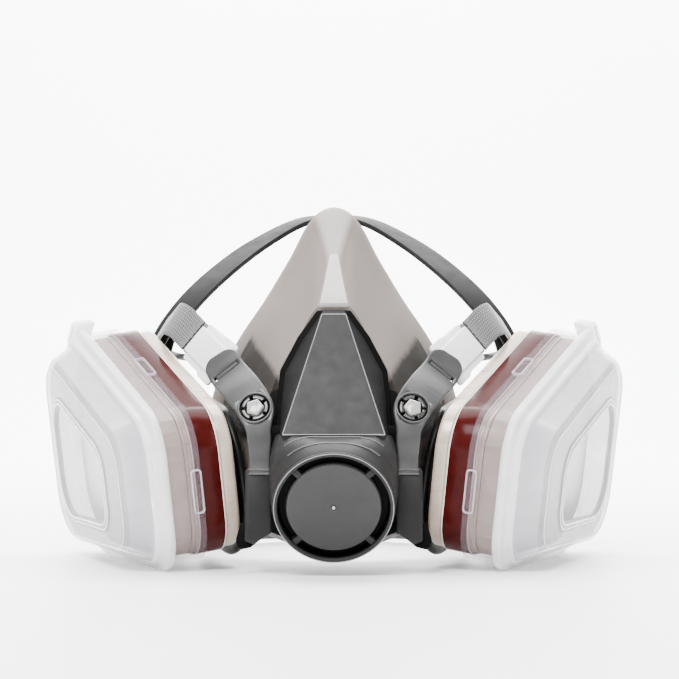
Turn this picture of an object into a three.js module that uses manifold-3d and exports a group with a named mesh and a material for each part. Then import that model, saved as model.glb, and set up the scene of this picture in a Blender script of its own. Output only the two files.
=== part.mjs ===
// Half-face respirator with two bayonet cartridges, in millimetres.
// +Z is up, the mask faces -Y, and X = 0 is its plane of symmetry. Z = 0 is the surface it stands on.
// Pieces that come in pairs are built once, for the +X side, and mirrored for the -X side.
import * as THREE from "three";
import { mergeVertices } from "three/addons/utils/BufferGeometryUtils.js";
import { ConvexGeometry } from "three/addons/geometries/ConvexGeometry.js";
import Module from "manifold-3d";

const wasm = await Module();
wasm.setup();

// ---------------------------------------------------------------- driving dimensions
const GAP = 0.3; // clearance between pieces that touch
const DEG = Math.PI / 180;

// Front plane: the faceplate lies in it, leaning back towards the nose.
const FRONT_LEAN = 11.4 * DEG;
const FRONT_FOOT_Y = -43.8; // where the front plane meets Z = 0
const FACEPLATE_THICK = 3;
const YOKE_THICK = 2.5;

// Exhalation port, a round boss that faces forward and down.
const EXHALE_CENTRE = [0, -58, 20.3];
const EXHALE_PITCH = 20.5 * DEG;
const BOSS_RADIUS = 21.7;
const BOSS_BORE = 19.4;
const COVER_DISC_RADIUS = 16.4;
const SEAT_BORE = 13;
const SEAT_DEPTH = 10; // from the boss's rim to the valve seat

// The whole mask tips back by this much, to stand level on the lower edges of its two retainers.
const STAND_LEAN = 1.75 * DEG;
const STAND_SHIFT = [0, -30.395, 5.511];

// Cartridge plane: its axis points sideways, a little forward and down.
const CARTRIDGE_AZIMUTH = 20.1 * DEG;
const CARTRIDGE_TILT = 8.7 * DEG;
const CARTRIDGE_ROLL = 8.5 * DEG;
const CARTRIDGE_FRONT = [34.1, -33.5, 27.4]; // middle of its front edge, on the mask side
const CARTRIDGE = { length: 103, front: 48, rear: 85, frontRadius: 15, rearRadius: 17 };
const PORT_BACK = 34; // port axis, behind the front edge
const PORT_DROP = 4; // and below the cartridge's middle line
const BODY_DEPTH = 18;
const LID_DEPTH = 25.7;
const RETAINER_DEPTH = 41;
const PORT_FLANGE_RADIUS = 31.5;
const PORT_FLANGE_TOP = 26; // the flange is cut level here, under the arm

const WEB_WIDTH = 13.4;
const WEB_THICK = 1.4;

// ---------------------------------------------------------------- colours
const COLOURS = {
  seal: [0xbdb9b6, 0.55],
  dark: [0x5f6062, 0.5],
  black: [0x2e2e30, 0.6],
  white: [0xe9e9ea, 0.4],
  stud: [0xc9c7c3, 0.3],
  beige: [0xd2c9c0, 0.45],
  grille: [0x8d8f90, 0.5],
  maroon: [0x56201f, 0.35],
  carbon: [0x232323, 0.9],
  filter: [0xf2f2f0, 0.95],
  clear: [0xdedee0, 0.3],
  silicone: [0xd8d4c8, 0.5],
  webbing: [0xa9a9a9, 0.9],
  cradle: [0x606163, 0.55],
};

function materialOf(colour) {
  const [color, roughness] = COLOURS[colour];
  return new THREE.MeshStandardMaterial({ color, roughness, metalness: 0 });
}

// ---------------------------------------------------------------- solids and booleans
function solid(geometry, matrix) {
  const source = geometry.index ? geometry.toNonIndexed() : geometry.clone();
  const bare = new THREE.BufferGeometry();
  bare.setAttribute("position", source.getAttribute("position"));
  if (matrix) bare.applyMatrix4(matrix);
  const merged = mergeVertices(bare, 1e-3);
  return new wasm.Manifold(
    new wasm.Mesh({
      numProp: 3,
      vertProperties: merged.attributes.position.array,
      triVerts: new Uint32Array(merged.index.array),
    }),
  );
}

function geometryOf(body) {
  const mesh = body.getMesh();
  const geometry = new THREE.BufferGeometry();
  const stride = mesh.numProp;
  const positions = new Float32Array(mesh.numVert * 3);
  for (let i = 0; i < mesh.numVert; i++) {
    positions.set(mesh.vertProperties.subarray(i * stride, i * stride + 3), i * 3);
  }
  geometry.setAttribute("position", new THREE.BufferAttribute(positions, 3));
  geometry.setIndex(new THREE.BufferAttribute(new Uint32Array(mesh.triVerts), 1));
  return geometry;
}

// The body's largest piece, with slivers and needless edges removed.
function tidied(body, tolerance = 0.06) {
  const pieces = body.simplify(tolerance).decompose();
  return pieces.reduce((a, b) => (a.volume() > b.volume() ? a : b));
}

const unite = (first, ...rest) => rest.reduce((a, b) => a.add(b), first);
const cut = (first, ...rest) => rest.reduce((a, b) => a.subtract(b), first);

// ---------------------------------------------------------------- frames
function frameOf(x, y, z, origin) {
  const matrix = new THREE.Matrix4().makeBasis(x, y, z);
  return matrix.setPosition(...origin);
}

const vec = (x, y, z) => new THREE.Vector3(x, y, z);

const FRONT_FRAME = frameOf(
  vec(1, 0, 0),
  vec(0, Math.sin(FRONT_LEAN), Math.cos(FRONT_LEAN)),
  vec(0, -Math.cos(FRONT_LEAN), Math.sin(FRONT_LEAN)),
  [0, FRONT_FOOT_Y, 0],
);

// Local z runs outwards, so depths behind the rim are negative.
const EXHALE_FRAME = frameOf(
  vec(1, 0, 0),
  vec(0, -Math.sin(EXHALE_PITCH), Math.cos(EXHALE_PITCH)),
  vec(0, -Math.cos(EXHALE_PITCH), -Math.sin(EXHALE_PITCH)),
  EXHALE_CENTRE,
);

// The +X cartridge: x runs back along it, y up, z outwards; the origin is the middle of its front edge.
function cartridgeFrame() {
  const out = vec(
    Math.cos(CARTRIDGE_AZIMUTH) * Math.cos(CARTRIDGE_TILT),
    -Math.sin(CARTRIDGE_AZIMUTH) * Math.cos(CARTRIDGE_TILT),
    -Math.sin(CARTRIDGE_TILT),
  );
  const back = vec(-out.y, out.x, 0).normalize();
  const up = out.clone().cross(back);
  const x = back.multiplyScalar(Math.cos(CARTRIDGE_ROLL)).addScaledVector(up, Math.sin(CARTRIDGE_ROLL));
  const y = out.clone().cross(x);
  return frameOf(x, y, out, CARTRIDGE_FRONT);
}
const CARTRIDGE_FRAME = cartridgeFrame();
const PORT_FRAME = CARTRIDGE_FRAME.clone().multiply(
  new THREE.Matrix4().makeTranslation(PORT_BACK, -PORT_DROP, 0),
);

// ---------------------------------------------------------------- shape helpers
function prism(shape, z0, z1, frame, segments = 8) {
  const geometry = new THREE.ExtrudeGeometry(shape, {
    depth: z1 - z0,
    bevelEnabled: false,
    curveSegments: segments,
  });
  geometry.translate(0, 0, z0);
  return solid(geometry, frame);
}

function disc(radius, z0, z1, frame, segments = 32) {
  return prism(circle(radius, segments), z0, z1, frame);
}

function circle(radius, segments = 32, x = 0, y = 0) {
  const points = [];
  for (let i = 0; i < segments; i++) {
    const angle = (i / segments) * 2 * Math.PI;
    points.push(new THREE.Vector2(x + radius * Math.cos(angle), y + radius * Math.sin(angle)));
  }
  return new THREE.Shape(points);
}

const ring = (outer, inner, z0, z1, frame, segments = 32) =>
  cut(disc(outer, z0, z1, frame, segments), disc(inner, z0 - 1, z1 + 1, frame, segments));

function rectangle(width, height, x = 0, y = 0) {
  const shape = new THREE.Shape();
  shape.moveTo(x - width / 2, y - height / 2);
  shape.lineTo(x + width / 2, y - height / 2);
  shape.lineTo(x + width / 2, y + height / 2);
  shape.lineTo(x - width / 2, y + height / 2);
  return shape;
}

// Corner points of a polygon, each rounded by its own radius.
function roundedPoints(corners, radii, steps) {
  const points = [];
  corners.forEach((corner, i) => {
    const before = corners.at(i - 1);
    const after = corners[(i + 1) % corners.length];
    const toBefore = before.clone().sub(corner).normalize();
    const toAfter = after.clone().sub(corner).normalize();
    const half = Math.acos(toBefore.dot(toAfter)) / 2;
    const centre = toBefore
      .clone()
      .add(toAfter)
      .normalize()
      .multiplyScalar(radii[i] / Math.sin(half))
      .add(corner);
    const start = corner.clone().addScaledVector(toBefore, radii[i] / Math.tan(half)).sub(centre);
    const sweep = Math.PI - 2 * half;
    for (let k = 0; k <= steps; k++) {
      points.push(start.clone().rotateAround(new THREE.Vector2(), (sweep * k) / steps).add(centre));
    }
  });
  return points;
}

const EDGE_SLOPE = (CARTRIDGE.rear - CARTRIDGE.front) / 2 / CARTRIDGE.length;

// The cartridge's outline, grown by offset: a trapezium, narrow in front, with round corners.
function cartridgeOutline(offset, steps = 4) {
  const { length, front, frontRadius, rearRadius } = CARTRIDGE;
  const grow = offset * Math.hypot(1, EDGE_SLOPE);
  const half = (x) => front / 2 + EDGE_SLOPE * x + grow;
  const [x0, x1] = [-offset, length + offset];
  const corners = [
    new THREE.Vector2(x0, -half(x0)),
    new THREE.Vector2(x1, -half(x1)),
    new THREE.Vector2(x1, half(x1)),
    new THREE.Vector2(x0, half(x0)),
  ];
  const radii = [frontRadius, rearRadius, rearRadius, frontRadius].map((r) => Math.max(3, r + offset * 0.4));
  return roundedPoints(corners, radii, steps);
}

const cartridgeShape = (offset, steps) => new THREE.Shape(cartridgeOutline(offset, steps));

// A closed ring of sections: each section is a closed list of points, and all have the same length.
function sectionRing(sections) {
  const count = sections[0].length;
  const positions = sections.flat().flatMap((p) => [p.x, p.y, p.z]);
  const index = [];
  sections.forEach((_, i) => {
    const next = (i + 1) % sections.length;
    for (let j = 0; j < count; j++) {
      const k = (j + 1) % count;
      const [a, b, c, d] = [i * count + j, next * count + j, next * count + k, i * count + k];
      index.push(a, b, c, a, c, d);
    }
  });
  return closedGeometry(positions, index);
}

// A strip with a rectangular section: each station has a centre, a half width and a half thickness vector.
function strip(stations) {
  const corners = stations.map(({ centre, side, face }) => [
    centre.clone().add(side).add(face),
    centre.clone().sub(side).add(face),
    centre.clone().sub(side).sub(face),
    centre.clone().add(side).sub(face),
  ]);
  const positions = corners.flat().flatMap((p) => [p.x, p.y, p.z]);
  const index = [];
  for (let i = 0; i + 1 < corners.length; i++) {
    for (let j = 0; j < 4; j++) {
      const k = (j + 1) % 4;
      const [a, b, c, d] = [i * 4 + j, i * 4 + 4 + j, i * 4 + 4 + k, i * 4 + k];
      index.push(a, b, c, a, c, d);
    }
  }
  const last = (corners.length - 1) * 4;
  index.push(0, 1, 2, 0, 2, 3, last, last + 2, last + 1, last, last + 3, last + 2);
  return closedGeometry(positions, index);
}

// A solid from a closed surface, turned so that its faces point out.
function closedGeometry(positions, index) {
  const build = (order) => {
    const geometry = new THREE.BufferGeometry();
    geometry.setAttribute("position", new THREE.Float32BufferAttribute(positions, 3));
    geometry.setIndex(order);
    return solid(geometry);
  };
  const made = build(index);
  if (made.volume() > 0) return made;
  const flipped = [];
  for (let i = 0; i < index.length; i += 3) flipped.push(index[i], index[i + 2], index[i + 1]);
  return build(flipped);
}

// Stations of a flat strap along a curve. up gives the width's direction at each share of the way.
function strapStations(points, width, thick, up, count) {
  const curve = new THREE.CatmullRomCurve3(points.map((p) => vec(...p)), false, "centripetal");
  const stations = [];
  for (let i = 0; i <= count; i++) {
    const t = i / count;
    const along = curve.getTangent(t);
    const side = up(t).clone().addScaledVector(along, -up(t).dot(along)).normalize();
    const face = along.clone().cross(side).normalize();
    stations.push({
      centre: curve.getPoint(t),
      side: side.multiplyScalar(width(t) / 2),
      face: face.multiplyScalar(thick / 2),
    });
  }
  return stations;
}

const constant = (value) => () => value;
const blendOf = (a, b) => (t) => vec(...a).lerp(vec(...b), t).normalize();

// ---------------------------------------------------------------- face seal
// Right half of each ring, from the nose to the chin; the left half mirrors it.
const FRONT_RING = [
  [0, 91.5], [5.4, 91], [12.6, 79.6], [19.3, 67.6], [23.6, 55.5], [26.2, 43],
  [26.6, 29], [24, 16], [16.5, 8], [7.5, 5], [0, 4.6],
];
const REAR_RING = [
  [0, 13, 124], [7.6, 14, 120.6], [16.8, 18, 105], [25.6, 23, 90.5], [36, 28.5, 75],
  [44.5, 32, 58], [47.5, 33, 40], [43, 29.5, 22], [30, 20.5, 8.5], [14, 13, 3.6], [0, 11, 2.9],
];
const LIP_INSET = 9;
const SEAL_THICK = 2.4;
const SEAL_STATIONS = 44;

function frontPoint([x, height], lift = 0) {
  return vec(x, height, lift).applyMatrix4(FRONT_FRAME);
}

// A closed curve through a half ring and its mirror image.
function ringCurve(half) {
  const mirrored = half.slice(1, -1).reverse().map((p) => vec(-p.x, p.y, p.z));
  return new THREE.CatmullRomCurve3([...half, ...mirrored], true, "centripetal");
}

function insetRing(points, centre, inset, back) {
  return points.map((p) => {
    const away = vec(p.x, 0, p.z - centre);
    const shrink = 1 - inset / Math.max(away.length(), inset * 1.5);
    return vec(p.x * shrink, p.y + back, centre + (p.z - centre) * shrink);
  });
}

function sampled(points) {
  const curve = ringCurve(points);
  const samples = [];
  for (let i = 0; i < SEAL_STATIONS; i++) {
    samples.push(curve.getPoint(i / SEAL_STATIONS));
  }
  return samples;
}

// A solid through a list of rings, closed at each end by a fan of triangles.
function loft(rings) {
  const count = rings[0].length;
  const positions = rings.flat().flatMap((p) => [p.x, p.y, p.z]);
  const index = [];
  for (let i = 0; i + 1 < rings.length; i++) {
    for (let j = 0; j < count; j++) {
      const k = (j + 1) % count;
      const [a, b, c, d] = [i * count + j, (i + 1) * count + j, (i + 1) * count + k, i * count + k];
      index.push(a, b, c, a, c, d);
    }
  }
  [0, rings.length - 1].forEach((end) => {
    const middle = rings[end].reduce((sum, p) => sum.add(p), vec(0, 0, 0)).divideScalar(count);
    const apex = positions.length / 3;
    positions.push(middle.x, middle.y, middle.z);
    for (let j = 0; j < count; j++) {
      const pair = [end * count + j, end * count + ((j + 1) % count)];
      index.push(apex, ...(end === 0 ? pair : pair.reverse()));
    }
  });
  return closedGeometry(positions, index);
}

// The soft cup: open in front for the faceplate, with a turned-in lip at the back.
function makeFaceSeal() {
  const front = FRONT_RING.map((p) => frontPoint(p, -FACEPLATE_THICK / 2));
  const rear = REAR_RING.map((p) => vec(...p));
  const between = (share, bulge) =>
    front.map((p, i) => {
      const mid = p.clone().lerp(rear[i], share);
      const out = vec(mid.x, 0, mid.z - 50).normalize();
      return mid.addScaledVector(out, i < 3 ? 0 : bulge);
    });
  const walls = [front, between(0.35, 1), between(0.7, 2)];
  const inset = (ring, amount, back) => insetRing(ring, 52, amount, back);
  const outer = [...walls, rear, inset(rear, 1.6, 3.2), inset(rear, LIP_INSET + 1, 0.8)];
  const inner = [
    inset(front, SEAL_THICK, -2),
    ...walls.map((ring) => inset(ring, SEAL_THICK, 0)),
    inset(rear, SEAL_THICK + 0.6, -1),
    inset(rear, LIP_INSET + 1, -1),
  ];
  const opening = [inset(rear, LIP_INSET, -8), inset(rear, LIP_INSET, 8)];
  return cut(...[outer, inner, opening].map((rings) => loft(rings.map(sampled))));
}

// ---------------------------------------------------------------- front pieces
function makeFaceplate() {
  const outline = FRONT_RING.map(([x, y]) => vec(x, y, 0));
  const points = ringCurve(insetOutline(outline, SEAL_THICK + 2.5 * GAP)).getPoints(56).slice(0, -1);
  const shape = new THREE.Shape(points.map((p) => new THREE.Vector2(p.x, p.y)));
  const plate = prism(shape, -FACEPLATE_THICK, 0, FRONT_FRAME);
  const tube = disc(SEAT_BORE + 2.2, -32, -SEAT_DEPTH, EXHALE_FRAME, 36);
  const behind = prism(rectangle(200, 300), -80, -FACEPLATE_THICK, FRONT_FRAME);
  const bore = disc(SEAT_BORE, -60, 1, EXHALE_FRAME, 36);
  return cut(unite(plate, cut(tube, behind)), bore);
}

function insetOutline(points, inset) {
  const middle = 42;
  return points.map((p) => {
    const away = Math.hypot(p.x, p.y - middle);
    const shrink = 1 - inset / away;
    return vec(p.x * shrink, middle + (p.y - middle) * shrink, 0);
  });
}

const COVER_BACK = YOKE_THICK + 2 * GAP + 0.3; // the front cover clears the yoke behind it
const YOKE_TOP = 48;
const PANEL = { topHalf: 4.3, top: [-28, 86.2], bottomHalf: 17.8, bottom: [-50.5, 45.2] };
const PANEL_BASE = [
  [4.6, 88.5], [11.4, 79], [17.6, 67], [18.6, 56], [19.2, 44], [20, 34], [19, 24], [14, 14],
];

function panelPoints(shrink) {
  const [topY, topZ] = PANEL.top;
  const [bottomY, bottomZ] = PANEL.bottom;
  const face = [
    [PANEL.topHalf - shrink * 0.5, topY + shrink, topZ - shrink],
    [PANEL.bottomHalf - shrink, bottomY + shrink, bottomZ],
    [PANEL.bottomHalf - shrink - 1, bottomY + shrink + 6, bottomZ - 12],
  ].map((p) => vec(...p));
  const base = PANEL_BASE.map(([x, y]) => frontPoint([x - shrink, y - shrink], GAP));
  return [...face, ...base].flatMap((p) => [p, vec(-p.x, p.y, p.z)]);
}

// The panel over the nose of the mask, and the round boss under it, as one hollow moulding.
function makeFrontCover() {
  const wall = 2.2;
  const panel = solid(new ConvexGeometry(panelPoints(0)));
  const hollow = solid(new ConvexGeometry(panelPoints(wall)));
  const boss = disc(BOSS_RADIUS, -40, 0, EXHALE_FRAME, 36);
  const bore = disc(BOSS_BORE, -60, 1, EXHALE_FRAME, 36);
  const behind = prism(rectangle(200, 300), -80, GAP, FRONT_FRAME);
  const yokeRoom = prism(rectangle(200, 150, 0, YOKE_TOP + GAP - 75), -1, COVER_BACK, FRONT_FRAME);
  const hollowBack = solid(
    new ConvexGeometry(panelPoints(wall)),
    new THREE.Matrix4().makeTranslation(0, 1.5, 0),
  );
  return cut(unite(panel, boss), hollow, hollowBack, bore, behind, yokeRoom);
}

function makeExhalationCover() {
  const plate = disc(COVER_DISC_RADIUS, -2.6, -0.6, EXHALE_FRAME, 36);
  const outer = ring(BOSS_BORE - GAP, BOSS_BORE - GAP - 1.6, -6.2, -4, EXHALE_FRAME, 36);
  const bars = [45, 135, 225, 315].map((angle) => {
    const turn = new THREE.Matrix4().makeRotationZ(angle * DEG);
    const length = BOSS_BORE - GAP - COVER_DISC_RADIUS + 1.2;
    const shape = rectangle(length, 2.4, COVER_DISC_RADIUS - 1 + length / 2 - 0.2, 0);
    return prism(shape, -5, -1.2, EXHALE_FRAME.clone().multiply(turn));
  });
  return unite(plate, outer, ...bars);
}

function makeExhalationSeat() {
  const rim = ring(SEAT_BORE - GAP, SEAT_BORE - 1.9, -SEAT_DEPTH - 2.2, -SEAT_DEPTH, EXHALE_FRAME, 32);
  const hub = disc(3, -SEAT_DEPTH - 2.2, -SEAT_DEPTH, EXHALE_FRAME, 16);
  const spokes = [0, 90].map((angle) => {
    const turn = new THREE.Matrix4().makeRotationZ(angle * DEG);
    const shape = rectangle(2 * SEAT_BORE - 2, 1.6);
    return prism(shape, -SEAT_DEPTH - 2, -SEAT_DEPTH - 0.4, EXHALE_FRAME.clone().multiply(turn));
  });
  const stemHole = disc(1.5, -SEAT_DEPTH - 5, -SEAT_DEPTH + 2, EXHALE_FRAME, 14);
  return cut(unite(rim, hub, ...spokes), stemHole);
}

// A thin flap on a short stem; it lifts off its seat on each breath out.
function makeFlap(radius, seat, frame) {
  const flap = disc(radius, seat + GAP, seat + GAP + 0.7, frame, 32);
  const stem = disc(1.1, seat - 5, seat + GAP + 0.2, frame, 12);
  const bead = disc(1.9, seat - 5.4, seat - 4.2, frame, 12);
  return unite(flap, stem, bead);
}

// ---------------------------------------------------------------- harness yoke
const BUTTON_STATION = 3; // the arm's station that carries the snap stud
const BUTTON_HOLE = 5.5;
const ARM = [
  { at: [25.9, -39.6, 31], width: 7.2 },
  { at: [25.9, -38.6, 35], width: 7.2 },
  { at: [26.2, -37.8, 44.4], width: 8.6 },
  { at: [27.6, -34.4, 53.2], width: 13.4 },
  { at: [32.4, -27.8, 59.6], width: 14 },
  { at: [38, -17.8, 65.2], width: 13.8 },
  { at: [40.5, -14.4, 69.4], width: 13 },
  { at: [41.4, -13.2, 71], width: 9.6 },
];
const ARM_THICK = 2.2;
const TAB_SLOT = [10.8, 2.6];

// At each station the arm's width lies square to its run, nearly level at the foot and slanting at the tab.
function armStations() {
  return ARM.map(({ at, width }, i) => {
    const ahead = vec(...ARM[Math.min(i + 1, ARM.length - 1)].at);
    const along = ahead.sub(vec(...ARM[Math.max(i - 1, 0)].at)).normalize();
    const level = vec(1, 0, 0).lerp(vec(0.81, 0.05, -0.58), Math.min(1, Math.max(0, (i - 2) / 3)));
    const side = level.addScaledVector(along, -level.dot(along)).normalize();
    const face = along.clone().cross(side).normalize();
    return {
      centre: vec(...at),
      side: side.multiplyScalar(width / 2),
      face: face.multiplyScalar(ARM_THICK / 2),
    };
  });
}

function frameAtStation(station, along) {
  const x = station.side.clone().normalize();
  const z = station.face.clone().normalize();
  const y = z.clone().cross(x);
  return frameOf(x, y, z, station.centre.clone().addScaledVector(y, along).toArray());
}

const LOWER_ARM = [
  { at: [26.4, -42, 15.4], width: 10 },
  { at: [28.6, -37.4, 13.6], width: 9.6 },
  { at: [29.3, -31, 12], width: 9 },
  { at: [28.9, -24, 10.4], width: 8.4 },
  { at: [29, -14, 7.6], width: 6.4 },
  { at: [31.4, -5, 5.8], width: 6 },
  { at: [35.6, 6, 5.4], width: 6 },
  { at: [39.8, 17, 6.2], width: 7.4 },
  { at: [43.8, 27, 8], width: 11 },
  { at: [47, 35, 9], width: 16 },
  { at: [48.6, 39, 9.2], width: 16 },
];

function lowerArm() {
  const stations = LOWER_ARM.map(({ at, width }, i) => {
    const ahead = vec(...LOWER_ARM[Math.min(i + 1, LOWER_ARM.length - 1)].at);
    const along = ahead.sub(vec(...LOWER_ARM[Math.max(i - 1, 0)].at)).normalize();
    const side = vec(0, 0, 1).addScaledVector(along, -along.z).normalize();
    const face = along.clone().cross(side).normalize();
    return { centre: vec(...at), side: side.multiplyScalar(width / 2), face: face.multiplyScalar(1) };
  });
  const slot = prism(rectangle(WEB_WIDTH, 2.6), -6, 6, frameAtStation(stations.at(-2), 0));
  return cut(strip(stations), slot);
}

const mirrorX = (body) => body.mirror([1, 0, 0]);

function makeYoke() {
  const z0 = GAP;
  const half = [
    [0, 8], [15, 8], [21.5, 10.5], [24, 9], [28.5, 3.5], [31, 4], [31, 33], [26, 40], [23.8, YOKE_TOP],
    [0, YOKE_TOP],
  ];
  const outline = [...half, ...half.slice(1, -1).reverse().map(([x, y]) => [-x, y])];
  const shape = new THREE.Shape(outline.map(([x, y]) => new THREE.Vector2(x, y)));
  const band = prism(shape, z0, z0 + YOKE_THICK, FRONT_FRAME);
  const stations = armStations();
  const buttonFrame = frameAtStation(stations[BUTTON_STATION], 0);
  const hole = disc(BUTTON_HOLE, -6, 6, buttonFrame, 24);
  const slotFrame = frameAtStation(stations[5], 0);
  const slot = prism(rectangle(...TAB_SLOT), -6, 6, slotFrame);
  const arm = cut(strip(stations), hole, slot);
  const oneSide = unite(arm, lowerArm());
  const port = disc(SEAT_BORE + 2.2 + GAP, -60, 1, EXHALE_FRAME, 36);
  return cut(unite(band, oneSide, mirrorX(oneSide)), port);
}

// Snap stud of the face seal, which holds the arm: five fingers round a post.
function makeStud() {
  const local = frameAtStation(armStations()[BUTTON_STATION], 0);
  if (local.elements[9] > 0) local.multiply(new THREE.Matrix4().makeRotationX(Math.PI)); // z runs forward
  const post = disc(2.6, -2.2, 1.7, local, 16);
  const head = disc(BUTTON_HOLE - 1.2, -1, 1.2, local, 24);
  const cuts = [0, 1, 2, 3, 4].map((i) => {
    const turn = new THREE.Matrix4().makeRotationZ((i / 5) * 2 * Math.PI + Math.PI / 2);
    return prism(rectangle(2.6, 0.9, 4.1, 0), -2, 3, local.clone().multiply(turn));
  });
  return cut(unite(post, head), ...cuts);
}

// ---------------------------------------------------------------- inhalation ports
const PORT_BORE = 12.4;
const PORT_TUBE = 14.6;
const LUG_RADIUS = 17.6;
const PORT_INNER_RADIUS = 17.6;
const PORT_BACK_FACE = -5.4; // the flange's mask side
const PORT_INNER_FACE = -15.2; // the inner rim's outer side
const PORT_END = -16.6;

function makePortHousing() {
  const profile = [
    [PORT_BORE, PORT_END], [PORT_INNER_RADIUS, PORT_END], [PORT_INNER_RADIUS, PORT_INNER_FACE],
    [PORT_TUBE + 1, PORT_INNER_FACE], [PORT_TUBE + 1, PORT_BACK_FACE],
    [PORT_FLANGE_RADIUS - 1.2, PORT_BACK_FACE], [PORT_FLANGE_RADIUS, PORT_BACK_FACE + 1],
    [PORT_FLANGE_RADIUS, -3.2], [PORT_FLANGE_RADIUS - 1.4, -2], [PORT_TUBE, -2],
    [PORT_TUBE, 5.4], [PORT_BORE, 5.4], [PORT_BORE, PORT_END],
  ];
  const upright = new THREE.Matrix4().makeRotationX(Math.PI / 2);
  const points = profile.map(([r, z]) => new THREE.Vector2(r, z));
  const whole = solid(new THREE.LatheGeometry(points, 40), PORT_FRAME.clone().multiply(upright));
  const above = prism(rectangle(80, 20, 0, PORT_FLANGE_TOP + 10), -8, 0, PORT_FRAME);
  const body = cut(whole, above);
  const lugs = [90, 210, 330].map((middle) => {
    const shape = new THREE.Shape();
    shape.absarc(0, 0, LUG_RADIUS, (middle - 17) * DEG, (middle + 17) * DEG, false);
    shape.absarc(0, 0, PORT_TUBE - 0.6, (middle + 17) * DEG, (middle - 17) * DEG, true);
    return prism(shape, 3.4, 5.4, PORT_FRAME, 6);
  });
  return unite(body, ...lugs);
}

const makeGasket = () => ring(22, PORT_TUBE + GAP, -1.7, -0.3, PORT_FRAME);

const SEAT_BACK = PORT_END + 0.2;
const SEAT_FRONT = PORT_END + 2.2;

function makeInhalationSeat() {
  const rim = ring(PORT_BORE - GAP, PORT_BORE - 1.8, SEAT_BACK, SEAT_FRONT, PORT_FRAME, 28);
  const hub = disc(2.8, SEAT_BACK, SEAT_FRONT, PORT_FRAME, 14);
  const spokes = [0, 120, 240].map((angle) => {
    const turn = new THREE.Matrix4().makeRotationZ(angle * DEG);
    const shape = rectangle(PORT_BORE - 2.6, 1.5, PORT_BORE / 2 + 0.3, 0);
    return prism(shape, SEAT_BACK + 0.4, SEAT_FRONT - 0.2, PORT_FRAME.clone().multiply(turn));
  });
  const hole = disc(1.5, -22, -5, PORT_FRAME, 12);
  return cut(unite(rim, hub, ...spokes), hole);
}

// The inhalation flap lies inside the mask, over the port's inner rim.
function makeInhalationValve() {
  const inward = PORT_FRAME.clone().multiply(new THREE.Matrix4().makeRotationX(Math.PI));
  return makeFlap(PORT_BORE + 1.6, -PORT_END, inward);
}

// ---------------------------------------------------------------- cartridge
const SOCKET_RADIUS = 19;
const LABEL = [5.6, 15.4];

function makeCartridgeBody() {
  const shell = prism(cartridgeShape(0), 0, BODY_DEPTH, CARTRIDGE_FRAME);
  const cavity = prism(cartridgeShape(-2), 9, BODY_DEPTH + 2, CARTRIDGE_FRAME);
  const socket = disc(SOCKET_RADIUS, 2.4, 7, PORT_FRAME);
  const mouth = disc(PORT_TUBE + 0.6, -1, 3, PORT_FRAME);
  const air = disc(PORT_BORE, 5, 12, PORT_FRAME, 28);
  const notches = [15, 135, 255].map((middle) => {
    const shape = new THREE.Shape();
    shape.absarc(0, 0, LUG_RADIUS + 0.6, (middle - 20) * DEG, (middle + 20) * DEG, false);
    shape.absarc(0, 0, PORT_TUBE - 1, (middle + 20) * DEG, (middle - 20) * DEG, true);
    return prism(shape, -1, 3, PORT_FRAME, 6);
  });
  return cut(shell, cavity, socket, mouth, air, ...notches);
}

function makeLabel() {
  const outer = prism(cartridgeShape(0.8), LABEL[0], LABEL[1], CARTRIDGE_FRAME);
  const inner = prism(cartridgeShape(GAP), LABEL[0] - 1, LABEL[1] + 1, CARTRIDGE_FRAME);
  return cut(outer, inner);
}

const makeCarbon = () => prism(cartridgeShape(-2.5, 4), 9.3, 21.6, CARTRIDGE_FRAME);

function makeLid() {
  const outer = prism(cartridgeShape(0), BODY_DEPTH + GAP, LID_DEPTH, CARTRIDGE_FRAME);
  const inner = prism(cartridgeShape(-2), BODY_DEPTH - 1, LID_DEPTH - 2.4, CARTRIDGE_FRAME);
  const slots = [];
  const rows = 9;
  for (let row = 0; row < rows; row++) {
    const y = ((row + 0.5) / rows - 0.5) * 66;
    for (const [x0, x1] of [[8, 34], [37, 66], [69, 96]]) {
      const reach = CARTRIDGE.front / 2 - 5 + EDGE_SLOPE * x0;
      if (Math.abs(y) > reach) continue;
      const slot = rectangle(x1 - x0, 3.4, (x0 + x1) / 2, y);
      slots.push(prism(slot, LID_DEPTH - 4, LID_DEPTH + 2, CARTRIDGE_FRAME));
    }
  }
  return cut(outer, inner, ...slots);
}

const makePrefilter = () =>
  prism(cartridgeShape(-3.2, 4), LID_DEPTH + GAP, LID_DEPTH + 5.5, CARTRIDGE_FRAME);

// Snap-on retainer: a skirt round the lid, a flange, and a drafted dome with an intake window.
const RETAINER_OUTER = [
  [2.3, 13.4], [2.2, 24.8], [4, 25.6], [4, 28.4], [0.9, 29.2], [0.9, 31.2], [-0.9, 32], [-3.9, 39.6],
  [-5.4, 41],
];
const RETAINER_INNER = [
  [-6.4, 39.6], [-5, 38.6], [-2.2, 31.6], [-0.6, 30], [1.1, 26.5], [1.1, 13.4],
];
const RETAINER_CLIPS = [0.46]; // along the upper and lower edges, as shares of the length
const WINDOW = { from: 27, to: 88, front: 24, rear: 46, drop: 2 };

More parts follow.
